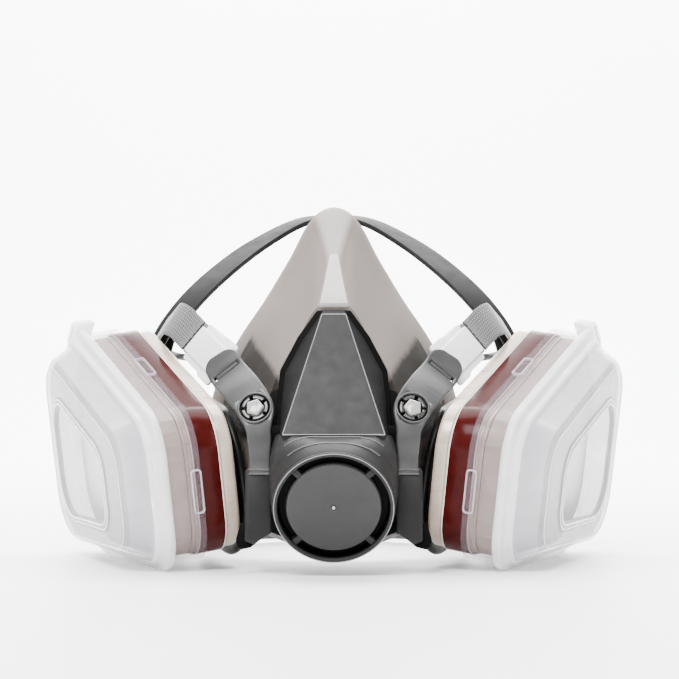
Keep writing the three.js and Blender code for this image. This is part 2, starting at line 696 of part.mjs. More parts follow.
function makeRetainer() {
  const skin = [...RETAINER_OUTER, ...RETAINER_INNER];
  const rings = skin.map(([offset, depth]) =>
    cartridgeOutline(offset).map((p) => vec(p.x, p.y, depth).applyMatrix4(CARTRIDGE_FRAME)),
  );
  const wall = sectionRing(rings[0].map((_, i) => rings.map((r) => r[i])));
  const plate = prism(cartridgeShape(-5.2), RETAINER_DEPTH - 1.4, RETAINER_DEPTH, CARTRIDGE_FRAME);
  const corners = [
    [WINDOW.from, -WINDOW.front / 2], [WINDOW.to, -WINDOW.rear / 2],
    [WINDOW.to, WINDOW.rear / 2], [WINDOW.from, WINDOW.front / 2],
  ].map(([x, y]) => new THREE.Vector2(x, y - WINDOW.drop));
  const window = new THREE.Shape(roundedPoints(corners, [9, 12, 12, 9], 6));
  const opening = prism(window, RETAINER_DEPTH - 5, RETAINER_DEPTH + 3, CARTRIDGE_FRAME);
  const clips = RETAINER_CLIPS.flatMap((share) => {
    const x = share * CARTRIDGE.length;
    const y = CARTRIDGE.front / 2 + EDGE_SLOPE * x + 2;
    return [-1, 1].map((side) => {
      const turn = new THREE.Matrix4().makeRotationZ(side * Math.atan(EDGE_SLOPE));
      turn.setPosition(x, side * y, 0);
      return prism(rectangle(15, 2.4), 13.4, 17, CARTRIDGE_FRAME.clone().multiply(turn));
    });
  });
  const keepOut = prism(cartridgeShape(1.1), 10, 22, CARTRIDGE_FRAME);
  return cut(unite(wall, plate, ...clips), opening, keepOut);
}

// ---------------------------------------------------------------- head harness
const BUCKLE = { at: [37.4, -15.8, 64.4], to: [51.4, 4, 76.9] };
const BUCKLE_ACROSS = vec(0.62, 0.02, -0.78);
const BUCKLE_WING = 18;
const BUCKLE_WIDTH = WEB_WIDTH + 2.6;
const BUCKLE_LENGTH = vec(...BUCKLE.to).distanceTo(vec(...BUCKLE.at));

function buckleFrame() {
  const y = vec(...BUCKLE.to).sub(vec(...BUCKLE.at)).normalize();
  const x = BUCKLE_ACROSS.clone().addScaledVector(y, -BUCKLE_ACROSS.dot(y)).normalize();
  const z = x.clone().cross(y);
  return frameOf(x, y, z, BUCKLE.at);
}
const BUCKLE_FRAME = buckleFrame();

// Strap buckle: a face plate with two cheeks and a bar behind it, which the webbing passes
// between, and a tongue that hooks through the yoke arm's slot.
function makeBuckle() {
  const box = (width, height, x, y, z0, z1) => prism(rectangle(width, height, x, y), z0, z1, BUCKLE_FRAME);
  const end = BUCKLE_LENGTH;
  const plate = box(BUCKLE_WIDTH, end - 5, 0, (end + 5) / 2, -2.4, 0);
  const wings = box(BUCKLE_WING, 6.4, 0, 9.6, -2.4, 0);
  const cheeks = [-1, 1].map((side) => box(0.9, 6, side * (BUCKLE_WIDTH / 2 - 0.45), end - 6, -5.6, -2));
  const bar = box(BUCKLE_WIDTH, 3, 0, end - 6, -5.8, -4.4);
  const tongue = box(9.4, 8.4, 0, 3, -2.2, -0.4);
  const slotFrame = frameAtStation(armStations()[5], 0);
  const hook = prism(rectangle(9.4, 1.6), -2.6, 3.4, slotFrame);
  const lip = prism(rectangle(9.4, 3.4, 0, 0.9), -2.9, -1.5, slotFrame);
  return unite(plate, wings, ...cheeks, bar, tongue, hook, lip);
}

const CRADLE_END = [66.6, 64, 72.6];
const STRAP_TAIL = [[44.4, -0.9, 70.9], [49.5, 6.3, 75.5], [50.9, 8.3, 76.8]]; // held in the buckle
const UPPER_STRAP = [
  [51.5, 9.2, 77.3], [53, 11.3, 78.7], [57, 15.4, 82.4], [59.8, 19.6, 83.4],
  [60.6, 27, 83.2], [63.8, 44, 80], [66.8, 53.4, 76.6], [68.7, 60, 73.9],
];

function makeStrapTail() {
  return strip(strapStations(STRAP_TAIL, constant(WEB_WIDTH), WEB_THICK, () => BUCKLE_ACROSS, 2));
}

function makeUpperStrap() {
  const up = blendOf(BUCKLE_ACROSS.toArray(), [0.5, 0, -0.86]);
  return strip(strapStations(UPPER_STRAP, constant(WEB_WIDTH), WEB_THICK, up, 16));
}

const CRADLE_THICK = 2.2;
const EYE_SLOT = 3; // the slot lies in front of the eye's middle
const FRONT_BAND = [
  [67.2, 66, 71], [66, 67.6, 75], [57.4, 74, 87.4], [45, 84, 99.8], [29.4, 98, 111.6], [12, 110, 120.4],
  [0, 111.5, 121.4],
];
const REAR_BAND = [
  [67.2, 67, 71], [64, 77, 68], [53, 96, 65], [37, 112, 63], [19, 121, 61.8], [0, 124, 61.4],
];

function fullBand(half) {
  const mirrored = half.slice(0, -1).map(([x, y, z]) => [-x, y, z]);
  return [...half, ...mirrored.reverse()];
}

// Crown cradle: two moulded bands that meet over each ear, where the straps loop in.
function makeCradle() {
  const width = (t) => 8.6 + 2.4 * Math.sin(Math.PI * t);
  const frontUp = (t) => {
    const side = 1 - 2 * t;
    const share = Math.abs(side);
    return vec(0.8 * side, 0.98 - 0.78 * share, 0.07 + 0.48 * share).normalize();
  };
  const rearUp = () => vec(0, 1, -0.1);
  const front = strip(strapStations(fullBand(FRONT_BAND), width, CRADLE_THICK, frontUp, 30));
  const rear = strip(strapStations(fullBand(REAR_BAND), width, CRADLE_THICK, rearUp, 30));
  const across = vec(0.5, 0, -0.86).normalize();
  const out = across.clone().cross(vec(0, 1, 0)).negate();
  const end = frameOf(across, out.clone().cross(across), out, CRADLE_END);
  const eye = cut(
    prism(rectangle(19, 15), -1.2, 1.2, end),
    prism(rectangle(WEB_WIDTH + 0.8, 3.6, 0, EYE_SLOT), -6, 6, end),
  );
  return unite(front, rear, eye, mirrorX(eye));
}

// ---------------------------------------------------------------- neck strap
const NECK_CLASP_Y = 104;
const NECK_CLASP_Z = -0.9;
const NECK_STRAP = [
  [50.1, 41.3, 8.3], [51, 52, 5], [47.4, 68, 2.2], [37.5, 84, 0.4], [24, 97, -0.5],
  [13.4, NECK_CLASP_Y, NECK_CLASP_Z],
];

function makeNeckStrap() {
  return strip(strapStations(NECK_STRAP, constant(WEB_WIDTH), WEB_THICK, () => vec(0, 0, 1), 14));
}

const CLASP_FRAME = frameOf(vec(1, 0, 0), vec(0, 0, 1), vec(0, -1, 0), [0, NECK_CLASP_Y, NECK_CLASP_Z]);

function makeClaspHook() {
  const plate = prism(rectangle(15, 15, 5.5, 0), 1.2, 3.4, CLASP_FRAME);
  const tongue = prism(rectangle(12, 7, -6, 0), 1.2, 3.4, CLASP_FRAME);
  return unite(plate, tongue);
}

function makeClaspLoop() {
  const plate = prism(rectangle(17, 15, -4.5, 0), -2.6, -0.4, CLASP_FRAME);
  const slot = prism(rectangle(2.4, 9, -9, 0), -5, 5, CLASP_FRAME);
  return cut(plate, slot);
}

// ---------------------------------------------------------------- assembly
const respirator = new THREE.Group();
const stand = new THREE.Matrix4().makeTranslation(...STAND_SHIFT);
stand.multiply(new THREE.Matrix4().makeRotationX(STAND_LEAN));

function add(name, body, colour) {
  const standing = solid(geometryOf(tidied(body)), stand);
  const mesh = new THREE.Mesh(geometryOf(tidied(standing)), materialOf(colour));
  mesh.name = name;
  respirator.add(mesh);
}

// One copy on each side of the mask.
function addPair(name, make, colour) {
  const right = make();
  add(`${name}_right`, right, colour);
  add(`${name}_left`, mirrorX(right), colour);
}

function makeWholeSeal() {
  const hole = disc(PORT_TUBE + 1 + GAP, -22, 2, PORT_FRAME);
  const half = cut(makeFaceSeal().trimByPlane([1, 0, 0], 0), hole);
  return unite(half, mirrorX(half));
}

add("face_seal", makeWholeSeal(), "seal");
add("faceplate", makeFaceplate(), "black");
add("front_cover", makeFrontCover(), "dark");
add("exhalation_cover", makeExhalationCover(), "dark");
add("exhalation_seat", makeExhalationSeat(), "white");
add("exhalation_valve", makeFlap(SEAT_BORE + 1.4, -SEAT_DEPTH, EXHALE_FRAME), "silicone");
add("harness_yoke", makeYoke(), "dark");
addPair("retaining_stud", makeStud, "stud");
addPair("inhalation_port", makePortHousing, "black");
addPair("port_gasket", makeGasket, "silicone");
addPair("inhalation_seat", makeInhalationSeat, "white");
addPair("inhalation_valve", makeInhalationValve, "silicone");
addPair("cartridge_body", makeCartridgeBody, "beige");
addPair("cartridge_label", makeLabel, "maroon");
addPair("carbon_bed", makeCarbon, "carbon");
addPair("cartridge_lid", makeLid, "grille");
addPair("prefilter", makePrefilter, "filter");
addPair("filter_retainer", makeRetainer, "clear");
addPair("strap_buckle", makeBuckle, "white");
addPair("strap_tail", makeStrapTail, "webbing");
addPair("upper_strap", makeUpperStrap, "webbing");
add("head_cradle", makeCradle(), "cradle");
addPair("neck_strap", makeNeckStrap, "webbing");
add("clasp_hook", makeClaspHook(), "dark");
add("clasp_loop", makeClaspLoop(), "dark");

export default respirator;
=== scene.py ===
import math

import bmesh
import bpy
from mathutils import Matrix, Vector, noise


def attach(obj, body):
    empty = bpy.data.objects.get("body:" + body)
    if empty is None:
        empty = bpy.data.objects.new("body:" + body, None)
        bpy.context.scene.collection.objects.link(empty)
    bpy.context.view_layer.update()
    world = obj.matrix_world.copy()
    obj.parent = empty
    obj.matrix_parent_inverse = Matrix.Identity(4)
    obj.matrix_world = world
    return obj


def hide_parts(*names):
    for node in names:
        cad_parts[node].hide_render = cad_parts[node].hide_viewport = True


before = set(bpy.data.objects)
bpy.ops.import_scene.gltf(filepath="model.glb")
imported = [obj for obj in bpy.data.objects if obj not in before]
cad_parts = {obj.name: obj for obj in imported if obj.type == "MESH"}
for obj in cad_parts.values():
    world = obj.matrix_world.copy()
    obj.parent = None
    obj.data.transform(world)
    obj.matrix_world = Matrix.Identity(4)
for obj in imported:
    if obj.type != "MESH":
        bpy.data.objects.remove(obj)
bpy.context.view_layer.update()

SIDES = ("right", "left")

# ---------------------------------------------------------------- frames, in millimetres
METRES = Matrix.Scale(0.001, 4)
STAND = Matrix.Translation((0, -30.395, 5.511)) @ Matrix.Rotation(math.radians(1.75), 4, "X")
FRONT_LEAN, FRONT_FOOT = math.radians(11.4), -43.8
EXHALE_PITCH = math.radians(20.5)
EXHALE_CENTRE = (0, -58, 20.3)
AZIMUTH, TILT, ROLL = (math.radians(a) for a in (20.1, 8.7, 8.5))
CARTRIDGE_FRONT = (34.1, -33.5, 27.4)
LENGTH, FRONT_HEIGHT, REAR_HEIGHT = 103, 48, 85
PORT_BACK, PORT_DROP = 34, 4
EDGE_SLOPE = (REAR_HEIGHT - FRONT_HEIGHT) / 2 / LENGTH
WEB_WIDTH, WEB_THICK = 13.4, 1.4
SOFT_EDGE = math.radians(38)


def basis(x, y, z, origin):
    columns = [Vector(v).to_4d() for v in (x, y, z, origin)]
    for column in columns[:3]:
        column.w = 0
    return Matrix(columns).transposed()


UPRIGHT = Matrix.Identity(4)
FRONT = basis((1, 0, 0), (0, math.sin(FRONT_LEAN), math.cos(FRONT_LEAN)),
              (0, -math.cos(FRONT_LEAN), math.sin(FRONT_LEAN)), (0, FRONT_FOOT, 0))
EXHALE = basis((1, 0, 0), (0, -math.sin(EXHALE_PITCH), math.cos(EXHALE_PITCH)),
               (0, -math.cos(EXHALE_PITCH), -math.sin(EXHALE_PITCH)), EXHALE_CENTRE)


def cartridge_frame():
    out = Vector((math.cos(AZIMUTH) * math.cos(TILT), -math.sin(AZIMUTH) * math.cos(TILT), -math.sin(TILT)))
    back = Vector((-out.y, out.x, 0)).normalized()
    x = back * math.cos(ROLL) + out.cross(back) * math.sin(ROLL)
    return basis(x, out.cross(x), out, CARTRIDGE_FRONT)


CARTRIDGE = cartridge_frame()
PORT = CARTRIDGE @ Matrix.Translation((PORT_BACK, -PORT_DROP, 0))

# ---------------------------------------------------------------- mesh helpers


def linked(name, data):
    """A new object in the scene."""
    made = bpy.data.objects.new(name, data)
    bpy.context.scene.collection.objects.link(made)
    return made


def smoothed(mesh, material, sharp):
    """Shades the mesh smooth, except at edges sharper than `sharp`, and gives it its material."""
    mesh.polygons.foreach_set("use_smooth", [True] * len(mesh.polygons))
    mesh.set_sharp_from_angle(angle=sharp)
    mesh.materials.append(material)


def turned_out(mesh, weld=0):
    """Turns every face outwards, once points nearer than `weld` are made one."""
    work = bmesh.new()
    work.from_mesh(mesh)
    if weld:
        bmesh.ops.remove_doubles(work, verts=work.verts, dist=weld)
    bmesh.ops.recalc_face_normals(work, faces=work.faces)
    work.to_mesh(mesh)
    work.free()


def lofted(name, rings, at, material, closed=False, smooth=SOFT_EDGE):
    """A lofted object whose rings are given in millimetres in the frame `at`."""
    points, faces = loft(rings, closed)
    mesh = bpy.data.meshes.new(name)
    place = METRES @ STAND @ at
    mesh.from_pydata([place @ Vector(p) for p in points], [], faces)
    turned_out(mesh, weld=2e-6)
    smoothed(mesh, material, smooth)
    return linked(name, mesh)


def joined(name, pieces):
    """The pieces as one object that keeps each one's material."""
    slots, whole = [], bmesh.new()
    for piece in pieces:
        start = len(whole.faces)
        whole.from_mesh(piece.data)
        whole.faces.ensure_lookup_table()
        local = []
        for material in piece.data.materials:
            if material not in slots:
                slots.append(material)
            local.append(slots.index(material))
        for face in whole.faces[start:]:
            face.material_index = local[min(face.material_index, len(local) - 1)]
    mesh = bpy.data.meshes.new(name)
    whole.to_mesh(mesh)
    whole.free()
    for material in slots:
        mesh.materials.append(material)
    for piece in pieces:
        old = piece.data
        bpy.data.objects.remove(piece)
        bpy.data.meshes.remove(old)
    return linked(name, mesh)


def mirrored(piece, name):
    """A copy of the piece on the other side of X = 0."""
    mesh = piece.data.copy()
    mesh.name = name
    mesh.transform(Matrix.Scale(-1, 4, (1, 0, 0)))
    mesh.flip_normals()
    return linked(name, mesh)


def carve(piece, tools):
    """Cuts the tool solids out of the piece, and removes them."""
    for tool in tools:
        cut = piece.modifiers.new("cut", "BOOLEAN")
        cut.operation, cut.solver, cut.object = "DIFFERENCE", "EXACT", tool
        bpy.context.view_layer.update()
        result = piece.evaluated_get(bpy.context.evaluated_depsgraph_get())
        made = bpy.data.meshes.new_from_object(result)
        piece.modifiers.clear()
        piece.data = made
        bpy.data.objects.remove(tool)
    return piece


def settle(piece, body, slot, *nodes):
    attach(piece, body)
    if nodes:
        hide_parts(*nodes)
    return piece


def settle_pair(right, body, slot, node):
    """Places the right-hand piece and its mirror image. A body name that ends in _ takes the side's name."""
    stem = right.name[: -len("_right")]
    left = mirrored(right, stem + "_left")
    for side, piece in zip(SIDES, (right, left)):
        settle(piece, body + side if body.endswith("_") else body, slot, f"{node}_{side}")


def loft(rings, closed=False):
    """Points and faces of a surface through closed rings of equal length, with its ends capped."""
    count = len(rings[0])
    points = [p for ring in rings for p in ring]
    faces = []
    for i in range(len(rings) if closed else len(rings) - 1):
        a, b = i * count, (i + 1) % len(rings) * count
        faces += [(a + j, b + j, b + (j + 1) % count, a + (j + 1) % count) for j in range(count)]
    if not closed:
        last = (len(rings) - 1) * count
        faces += [tuple(range(count)), tuple(range(last, last + count))]
    return points, faces


def rounded_polygon(corners, radii, steps=8, along=1):
    """A closed outline with each corner rounded by its own radius and each side split into equal parts."""
    corners = [Vector(c) for c in corners]
    arcs = []
    for i, corner in enumerate(corners):
        to_before = (corners[i - 1] - corner).normalized()
        to_after = (corners[(i + 1) % len(corners)] - corner).normalized()
        turn = 1 if to_after.x * to_before.y - to_after.y * to_before.x > 0 else -1
        half = math.acos(max(-1, min(1, to_before.dot(to_after)))) / 2
        centre = corner + (to_before + to_after).normalized() * (radii[i] / math.sin(half))
        start = corner + to_before * (radii[i] / math.tan(half)) - centre
        sweep = (math.pi - 2 * half) * turn
        arcs.append([centre + Matrix.Rotation(sweep * k / steps, 2) @ start for k in range(steps + 1)])
    outline = []
    for i, arc in enumerate(arcs):
        following = arcs[(i + 1) % len(arcs)][0]
        outline += arc + [arc[-1].lerp(following, k / along) for k in range(1, along)]
    return outline


def box_outline(width, height, x=0, y=0, radius=1.0, steps=6):
    left, right, low, high = x - width / 2, x + width / 2, y - height / 2, y + height / 2
    return rounded_polygon([(left, low), (right, low), (right, high), (left, high)], [radius] * 4, steps)


def circle(radius, count=64, x=0, y=0):
    turns = [2 * math.pi * i / count for i in range(count)]
    return [Vector((x + radius * math.cos(a), y + radius * math.sin(a))) for a in turns]


def arc_sector(middle, reach, inner, outer, steps):
    """A piece of a flat ring, which reaches so many degrees either side of its middle."""
    start, sweep = math.radians(middle - reach), math.radians(2 * reach)
    turns = [start + sweep * k / steps for k in range(steps + 1)]
    outside = [Vector((outer * math.cos(a), outer * math.sin(a))) for a in turns]
    return outside + [Vector((inner * math.cos(a), inner * math.sin(a))) for a in turns[::-1]]


def inset(outline, amount):
    """The outline moved inwards by a small amount."""
    moved = []
    for i, p in enumerate(outline):
        along = outline[(i + 1) % len(outline)] - outline[i - 1]
        moved.append(p + Vector((-along.y, along.x)).normalized() * amount)
    return moved


def lifted(outline, depth):
    return [(p.x, p.y, depth) for p in outline]


def edge_rings(outline, z0, z1, edge, steps=3, sign=1):
    """Rings of an extrusion from z0 to z1 whose rims are rounded by `edge`."""
    rings = []
    for i in range(steps + 1):
        a = math.pi / 2 * i / steps
        rings.append(lifted(inset(outline, sign * edge * (1 - math.sin(a))), z0 + edge * (1 - math.cos(a))))
    for i in range(steps + 1):
        a = math.pi / 2 * (1 - i / steps)
        rings.append(lifted(inset(outline, sign * edge * (1 - math.sin(a))), z1 - edge * (1 - math.cos(a))))
    return rings


def slab(name, outline, z0, z1, at, material, edge=0.4):
    return lofted(name, edge_rings(outline, z0, z1, edge), at, material)


def holed_slab(name, outline, hole, z0, z1, at, material, edge=0.4):
    """A slab with one hole, whose outline has as many points as the slab's."""
    outer = edge_rings(outline, z0, z1, edge)
    inner = edge_rings(hole, z0, z1, edge, sign=-1)
    return lofted(name, outer + inner[::-1], at, material, closed=True)


def cutter(outline, z0, z1, at):
    """A sharp-edged solid for carve."""
    return lofted("cutter", [lifted(outline, z) for z in (z0, z1)], at, BLACK)


def revolved(name, profile, at, material, count=96):
    """A solid of revolution about local z, from a closed profile of (radius, height) points."""
    rings = []
    for i in range(count):
        a = 2 * math.pi * i / count
        rings.append([(r * math.cos(a), r * math.sin(a), z) for r, z in profile])
    return lofted(name, rings, at, material, closed=True)


def eased(profile, radius, steps=4, closed=False):
    """A polyline with its corners rounded by up to `radius`."""
    points = [Vector(p) for p in profile]
    result = []
    for i, p in enumerate(points):
        if not closed and i in (0, len(points) - 1):
            result.append(p)
            continue
        before, after = points[i - 1], points[(i + 1) % len(points)]
        reach = min(radius, (before - p).length * 0.45, (after - p).length * 0.45)
        a = p + (before - p).normalized() * reach
        b = p + (after - p).normalized() * reach
        for k in range(steps + 1):
            t = k / steps
            result.append(a * (1 - t) ** 2 + p * (2 * t * (1 - t)) + b * t ** 2)
    return result


# ---------------------------------------------------------------- curves


def on_curve(points, t, closed=False):
    """A point of a centripetal Catmull-Rom curve, with t from 0 to 1 shared evenly between the points."""
    count = len(points)
    place = t * (count if closed else count - 1)
    i = math.floor(place)
    if not closed and i >= count - 1:
        i = count - 2
    w = place - i
    if closed:
        p0, p1, p2, p3 = (points[(i + k) % count] for k in (-1, 0, 1, 2))
    else:
        p1, p2 = points[i], points[i + 1]
        p0 = points[i - 1] if i > 0 else p1 * 2 - p2
        p3 = points[i + 2] if i + 2 < count else p2 * 2 - p1
    d0, d1, d2 = (max(1e-4, (b - a).length) ** 0.5 for a, b in ((p0, p1), (p1, p2), (p2, p3)))
    m1 = ((p1 - p0) / d0 - (p2 - p0) / (d0 + d1) + (p2 - p1) / d1) * d1
    m2 = ((p2 - p1) / d1 - (p3 - p1) / (d1 + d2) + (p3 - p2) / d2) * d1
    return p1 + m1 * w + (3 * (p2 - p1) - 2 * m1 - m2) * w ** 2 + (2 * (p1 - p2) + m1 + m2) * w ** 3


def heading(points, t, step):
    """The direction of the curve at t."""
    ahead, behind = on_curve(points, min(1, t + step)), on_curve(points, max(0, t - step))
    return (ahead - behind).normalized()


def stations_of(points, up, count):
    """Even stations (centre, side, face) along a curve, with side as near to up(t) as it can be."""
    points = [Vector(p) for p in points]
    fine = [on_curve(points, i / 400) for i in range(401)]
    run = [0]
    for a, b in zip(fine, fine[1:]):
        run.append(run[-1] + (b - a).length)
    stations, k = [], 0
    for i in range(count + 1):
        goal = run[-1] * i / count
        while k < 399 and run[k + 1] < goal:
            k += 1
        t = (k + (goal - run[k]) / max(1e-6, run[k + 1] - run[k])) / 400
        along = heading(points, t, 0.002)
        wish = up(t)
        side = (wish - along * wish.dot(along)).normalized()
        stations.append((on_curve(points, t), side, along.cross(side).normalized()))
    return stations, run[-1]


def blend_of(a, b):
    return lambda t: Vector(a).lerp(Vector(b), t).normalized()


def sweep(stations, section):
    """Rings of a section, a function of the share of the way, swept along stations."""
    rings = []
    for i, (centre, side, face) in enumerate(stations):
        rings.append([centre + side * a + face * b for a, b in section(i / (len(stations) - 1))])
    return rings


# ---------------------------------------------------------------- materials


def grey(value, tint=(1, 1, 1)):
    """A grey of one brightness, or a tint times that brightness."""
    return tuple(value * t for t in tint)


class Painter:
    """A material under construction: a principled shader and the nodes that feed it."""

    def __init__(self, name, **values):
        self.material = bpy.data.materials.new(name)
        self.material.use_nodes = True
        self.tree = self.material.node_tree
        self.shader = self.tree.nodes["Principled BSDF"]
        self.set(self.shader, **values)
        self.coordinates = self.node("TexCoord").outputs["Object"]

    def node(self, kind):
        return self.tree.nodes.new("ShaderNode" + kind)

    def feed(self, socket, value):
        """Links another node's output to the socket, or sets a plain value on it."""
        if isinstance(value, bpy.types.NodeSocket):
            self.tree.links.new(value, socket)
        else:
            socket.default_value = value

    def set(self, node, **values):
        for key, value in values.items():
            self.feed(node.inputs[key.replace("_", " ")], value)

    def noise(self, scale, detail=3, roughness=0.5, stretch=None):
        source = self.coordinates
        if stretch:
            mapping = self.node("Mapping")
            self.set(mapping, Scale=stretch, Vector=source)
            source = mapping.outputs["Vector"]
        node = self.node("TexNoise")
        self.set(node, Vector=source, Scale=scale, Detail=detail, Roughness=roughness)
        return node.outputs["Fac"]

    def cells(self, scale, feature="F1"):
        node = self.node("TexVoronoi")
        node.feature = feature
        self.set(node, Vector=self.coordinates, Scale=scale)
        return node.outputs["Distance"]

    def attribute(self, name):
        node = self.node("Attribute")
        node.attribute_name = name
        return node.outputs["Fac"]

    def normal_part(self, axis):
        """How much of the surface's own normal lies along an axis, whatever its sign."""
        parts = self.node("SeparateXYZ")
        self.set(parts, Vector=self.node("TexCoord").outputs["Normal"])
        return self.maths("ABSOLUTE", parts.outputs[axis])

    def edges(self):
        return self.node("NewGeometry").outputs["Pointiness"]

    def ramp(self, value, *stops):
        """A colour ramp from (place, colour) stops; a plain number is a grey."""
        node = self.node("ValToRGB")
        elements = node.color_ramp.elements
        while len(elements) < len(stops):
            elements.new(0.5)
        for element, (place, colour) in zip(elements, stops):
            element.position = place
            element.color = (colour,) * 3 + (1,) if isinstance(colour, (int, float)) else (*colour, 1)
        self.set(node, Fac=value)
        return node.outputs["Color"]

    def shades(self, value, colour, low, high):
        """The colour, from `low` times as bright to `high` times as bright."""
        return self.ramp(value, (0.3, grey(low, colour)), (0.7, grey(high, colour)))

    def mix(self, share, a, b):
        node = self.node("Mix")
        node.data_type = "RGBA"
        sockets = {s.identifier: s for s in node.inputs}
        for key, value in (("Factor_Float", share), ("A_Color", a), ("B_Color", b)):
            self.feed(sockets[key], (*value, 1) if isinstance(value, tuple) else value)
        return next(s for s in node.outputs if s.identifier == "Result_Color")

    def maths(self, operation, a, b=0.0):
        node = self.node("Math")
        node.operation = operation
        for socket, value in zip(node.inputs, (a, b)):
            self.feed(socket, value)
        return node.outputs["Value"]

    def bump(self, *layers):
        """Adds bumps: (height, distance in millimetres) each."""
        normal = None
        for height, distance in layers:
            node = self.node("Bump")
            self.set(node, Distance=distance * 0.001, Strength=1, Height=height)
            if normal:
                self.set(node, Normal=normal)
            normal = node.outputs["Normal"]
        self.set(self.shader, Normal=normal)


def moulded(name, colour, roughness, wear_and_edge_highlight=1.35, grain=0.02, coat=0.0, specular=0.5):
    """Moulded plastic: faint flow marks, fine grain, and edges made lighter, partly as rubbed wear and
    partly as a painted edge highlight.
    """
    paint = Painter(name, Coat_Weight=coat, Specular_IOR_Level=specular)
    tone = paint.shades(paint.noise(90, 4, 0.6, (1, 1, 2.2)), colour, 0.92, 1.07)
    # Convex edges painted lighter: partly rubbed wear, partly a painted highlight along the edges.
    worn_and_lit_edges = paint.ramp(paint.edges(), (0.52, 0.0), (0.6, 1.0))
    patchy = paint.ramp(paint.noise(240, 3), (0.3, roughness - 0.05), (0.7, roughness + 0.06))
    paint.set(paint.shader, Base_Color=paint.mix(worn_and_lit_edges, tone, grey(wear_and_edge_highlight, colour)), Roughness=patchy)
    paint.bump((paint.noise(2600, 2), grain), (paint.noise(160, 2), grain * 2))
    return paint.material


def rubber_material(name, colour):
    """Soft moulded rubber: a dusty matt skin, cloudy tone and fine pores, with painted shade in the recess
    beside the yoke's arms.
    """
    paint = Painter(name, Specular_IOR_Level=0.1)
    cloud = paint.noise(38, 5, 0.6)
    dust = paint.ramp(paint.noise(420, 6, 0.7), (0.45, 0.0), (0.8, 0.35))
    skin = paint.mix(dust, paint.shades(cloud, colour, 0.93, 1.05), grey(1.2, colour))
    polished = paint.mix(paint.attribute("ridge"), skin, (0.42, 0.40, 0.385))
    uneven = paint.maths("MULTIPLY", paint.noise(230, 4, 0.65), 0.5)
    # Painted shade on the seal in the recess beside the yoke's arms, with a ragged edge from noise.
    arm_shade_mask = paint.ramp(paint.maths("ADD", paint.attribute("recess"), uneven), (0.4, 0.0), (1.05, 1.0))
    paint.set(paint.shader, Base_Color=paint.mix(arm_shade_mask, polished, (0.016, 0.0135, 0.0120)))
    paint.set(paint.shader, Roughness=paint.ramp(cloud, (0.3, 0.5), (0.7, 0.62)))
    paint.bump((paint.noise(1900, 3, 0.6), 0.025), (paint.noise(210, 3), 0.06))
    return paint.material


def pearl_material():
    """Champagne cartridge shell: satin plastic with a pearly sheen and faint vertical draw marks."""
    paint = Painter("cartridge_shell", Metallic=0.15, Coat_Weight=0.3, Coat_Roughness=0.12)
    marks = paint.noise(300, 3, 0.6, (0.25, 0.25, 3))
    tone = paint.shades(marks, (0.40, 0.325, 0.262), 0.94, 1.05)
    # Convex edges painted lighter: partly rubbed wear, partly a painted highlight along the edges.
    worn_and_lit_edges = paint.ramp(paint.edges(), (0.6, 0.0), (0.7, 0.7))
    paint.set(paint.shader, Base_Color=paint.mix(worn_and_lit_edges, tone, (0.52, 0.46, 0.40)))
    paint.set(paint.shader, Roughness=paint.ramp(marks, (0.3, 0.26), (0.7, 0.36)))
    paint.bump((paint.noise(1500, 2), 0.01))
    return paint.material


def band_material():
    """Maroon foil band: deep gloss, slightly uneven ink, and tiny print specks."""
    paint = Painter("band_foil", Specular_IOR_Level=0.06)
    ink = paint.noise(130, 5, 0.65)
    tone = paint.ramp(ink, (0.3, (0.026, 0.0022, 0.0019)), (0.7, (0.039, 0.0038, 0.0033)))
    specks = paint.ramp(paint.cells(900), (0.0, 0.25), (0.1, 0.0))
    paint.set(paint.shader, Base_Color=paint.mix(specks, tone, (0.06, 0.008, 0.007)))
    paint.set(paint.shader, Roughness=paint.ramp(ink, (0.3, 0.16), (0.7, 0.24)))
    paint.bump((paint.noise(95, 3), 0.03))
    return paint.material


def edge_line_material():
    """The pale line along each edge of the band."""
    paint = Painter("band_edge_line", Roughness=0.3)
    tone = paint.ramp(paint.noise(500, 3), (0.3, (0.55, 0.50, 0.48)), (0.7, (0.76, 0.72, 0.70)))
    paint.set(paint.shader, Base_Color=tone)
    return paint.material


def clear_material(name, opacity, tint, roughness, rim=0.3, gloss=0.5):
    """Milky clear polymer seen through: flow lines, scuffs, and a cool tint."""
    paint = Painter(name, IOR=1.45, Specular_IOR_Level=gloss, Coat_Weight=gloss * 0.3)
    flow = paint.noise(55, 4, 0.6, (1, 1, 1.8))
    scuff = paint.noise(700, 5, 0.7)
    rubbed = paint.ramp(scuff, (0.35, roughness - 0.05), (0.7, roughness + 0.07))
    haze = paint.ramp(flow, (0.25, opacity - 0.05), (0.75, opacity + 0.05))
    edge = paint.ramp(paint.edges(), (0.53, 0.0), (0.65, rim))
    paint.set(paint.shader, Base_Color=paint.shades(flow, tint, 0.955, 1.0), Roughness=rubbed)
    paint.set(paint.shader, Alpha=paint.maths("ADD", haze, edge))
    paint.bump((paint.noise(85, 2), 0.05), (scuff, 0.004))
    return paint.material


def felt_material():
    """Needled filter felt: fibres, soft sheen, and uneven loft."""
    paint = Painter("filter_felt", Roughness=0.92, Sheen_Weight=0.4)
    fibres = paint.noise(1400, 6, 0.75, (1, 3.5, 1))
    tone = paint.ramp(fibres, (0.25, (0.78, 0.78, 0.77)), (0.7, (0.95, 0.95, 0.94)))
    paint.set(paint.shader, Base_Color=tone)
    paint.bump((fibres, 0.12), (paint.noise(260, 4), 0.25))
    return paint.material


